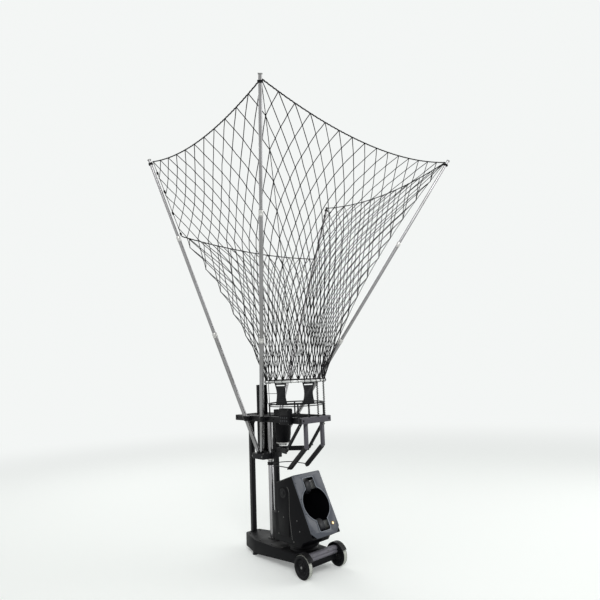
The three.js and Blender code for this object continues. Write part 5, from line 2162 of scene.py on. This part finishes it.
@dataclass
class Studio:
    """The floor, the light and the camera."""

    lens: float = 29.82
    place: tuple[float, float, float] = (-2.9235, -3.1746, 1.5735)
    azimuth: float = -42.04
    rise: float = 8.554
    roll: float = 0.040
    floor_half: float = 30.0
    backdrop: tuple[float, float, float, float] = (0.95, 0.97, 0.96, 1.0)

    def build(self) -> None:
        """Sets up everything that isn't the machine."""
        self.camera()
        self.floor()
        self.lights()
        bpy.context.scene.view_settings.view_transform = "Standard"

    def camera(self) -> None:
        """Puts the camera where the photograph was taken from."""
        azimuth, rise = math.radians(self.azimuth), math.radians(self.rise)
        right = heading(azimuth)
        level = leftward(right)
        ahead = level * math.cos(rise) + UP * math.sin(rise)
        above = UP * math.cos(rise) - level * math.sin(rise)
        x_axis = right * math.cos(self.roll) - above * math.sin(self.roll)
        y_axis = right * math.sin(self.roll) + above * math.cos(self.roll)
        data = bpy.data.cameras.new("camera")
        data.sensor_width = 36.0
        data.lens = self.lens
        camera = show(bpy.data.objects.new("camera", data))
        turn = Matrix((x_axis, y_axis, -ahead)).transposed().to_4x4()
        camera.matrix_world = Matrix.Translation(self.place) @ turn
        bpy.context.scene.camera = camera

    def floor(self) -> None:
        """Makes a wide pale floor."""
        half = self.floor_half
        mesh = bpy.data.meshes.new("floor")
        corners = [(-half, -half, 0), (half, -half, 0), (half, half, 0), (-half, half, 0)]
        mesh.from_pydata(corners, [], [(0, 1, 2, 3)])
        made = bpy.data.materials.new("floor")
        made.use_nodes = True
        nodes = Nodes(made.node_tree)
        shader = made.node_tree.nodes["Principled BSDF"]
        seen = nodes.add("ShaderNodeLightPath").outputs["Is Camera Ray"]
        nodes.fill(
            shader,
            {
                "Base Color": (0.84, 0.86, 0.84, 1.0), "Roughness": 0.9, "Specular IOR Level": 0.1,
                "Emission Color": self.backdrop,
                "Emission Strength": nodes.maths("MULTIPLY", seen, 0.22),
            },
        )
        place = nodes.add("ShaderNodeTexCoord").outputs["Object"]
        away = nodes.add("ShaderNodeVectorMath", {0: place}, operation="LENGTH").outputs["Value"]
        far = nodes.out(
            "ShaderNodeMapRange", {"Value": away, "From Min": 2.5, "From Max": 12.0},
            interpolation_type="SMOOTHSTEP",
        )
        glow = nodes.add("ShaderNodeEmission", {"Color": self.backdrop})
        nodes.link(self.strength(nodes), glow.inputs["Strength"])
        mixed = nodes.add(
            "ShaderNodeMixShader", {0: far, 1: shader.outputs[0], 2: glow.outputs[0]}
        )
        end = made.node_tree.nodes["Material Output"]
        nodes.link(mixed.outputs[0], end.inputs["Surface"])
        mesh.materials.append(made)
        floor = show(bpy.data.objects.new("floor", mesh))

    def lights(self) -> None:
        """Sets up soft light from above and both sides, and a pale world."""
        for name, place, size, power in (
            ("key", (-3.5, -4.5, 5.5), 3.0, 170.0), ("fill", (4.5, -3.0, 3.5), 3.5, 80.0),
            ("back", (1.0, 5.5, 5.0), 4.0, 110.0),
        ):
            data = bpy.data.lights.new(name, "AREA")
            data.size = size
            data.energy = power
            lamp = show(bpy.data.objects.new(name, data))
            lamp.location = place
            aim = Vector((0.0, 0.0, 1.2)) - Vector(place)
            lamp.rotation_euler = aim.to_track_quat("-Z", "Y").to_euler()
        world = bpy.data.worlds.new("world")
        world.use_nodes = True
        bpy.context.scene.world = world
        nodes = Nodes(world.node_tree)
        background = world.node_tree.nodes["Background"]
        background.inputs["Color"].default_value = self.backdrop
        nodes.link(self.strength(nodes), background.inputs["Strength"])

    def strength(self, nodes: Nodes) -> Socket:
        """White to the eye and to metal and glass, and dimmer as a light.

        Args:
            nodes: the tree of the world or of the floor.

        Returns:
            The socket that carries the strength.
        """
        paths = nodes.add("ShaderNodeLightPath").outputs
        seen = nodes.maths("MAXIMUM", paths["Is Camera Ray"], paths["Is Glossy Ray"])
        seen = nodes.maths("MAXIMUM", seen, paths["Is Transmission Ray"])
        return nodes.out("ShaderNodeMapRange", {"Value": seen, "To Min": 0.5, "To Max": 0.95})


def main() -> None:
    """Builds the sub-assemblies in order."""
    logging.basicConfig(level=logging.INFO, format="%(name)s: %(message)s")
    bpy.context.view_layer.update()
    groups, shop = ShaderGroups(), Workshop()
    poles = TelescopicPoles(groups, shop)
    assemblies = (
        RollingBase(groups, shop), SteelFrame(groups, shop), BallChute(groups, shop),
        RingStand(groups, shop), ControlUnit(groups, shop), poles, ShootingHead(groups, shop),
        CatchNet(groups, shop, poles=poles),
    )
    for assembly in assemblies:
        assembly.build()
        log.info("%s: %d pieces", type(assembly).__name__, len(assembly.pieces))
    Studio().build()


if __name__ == "__main__":
    main()
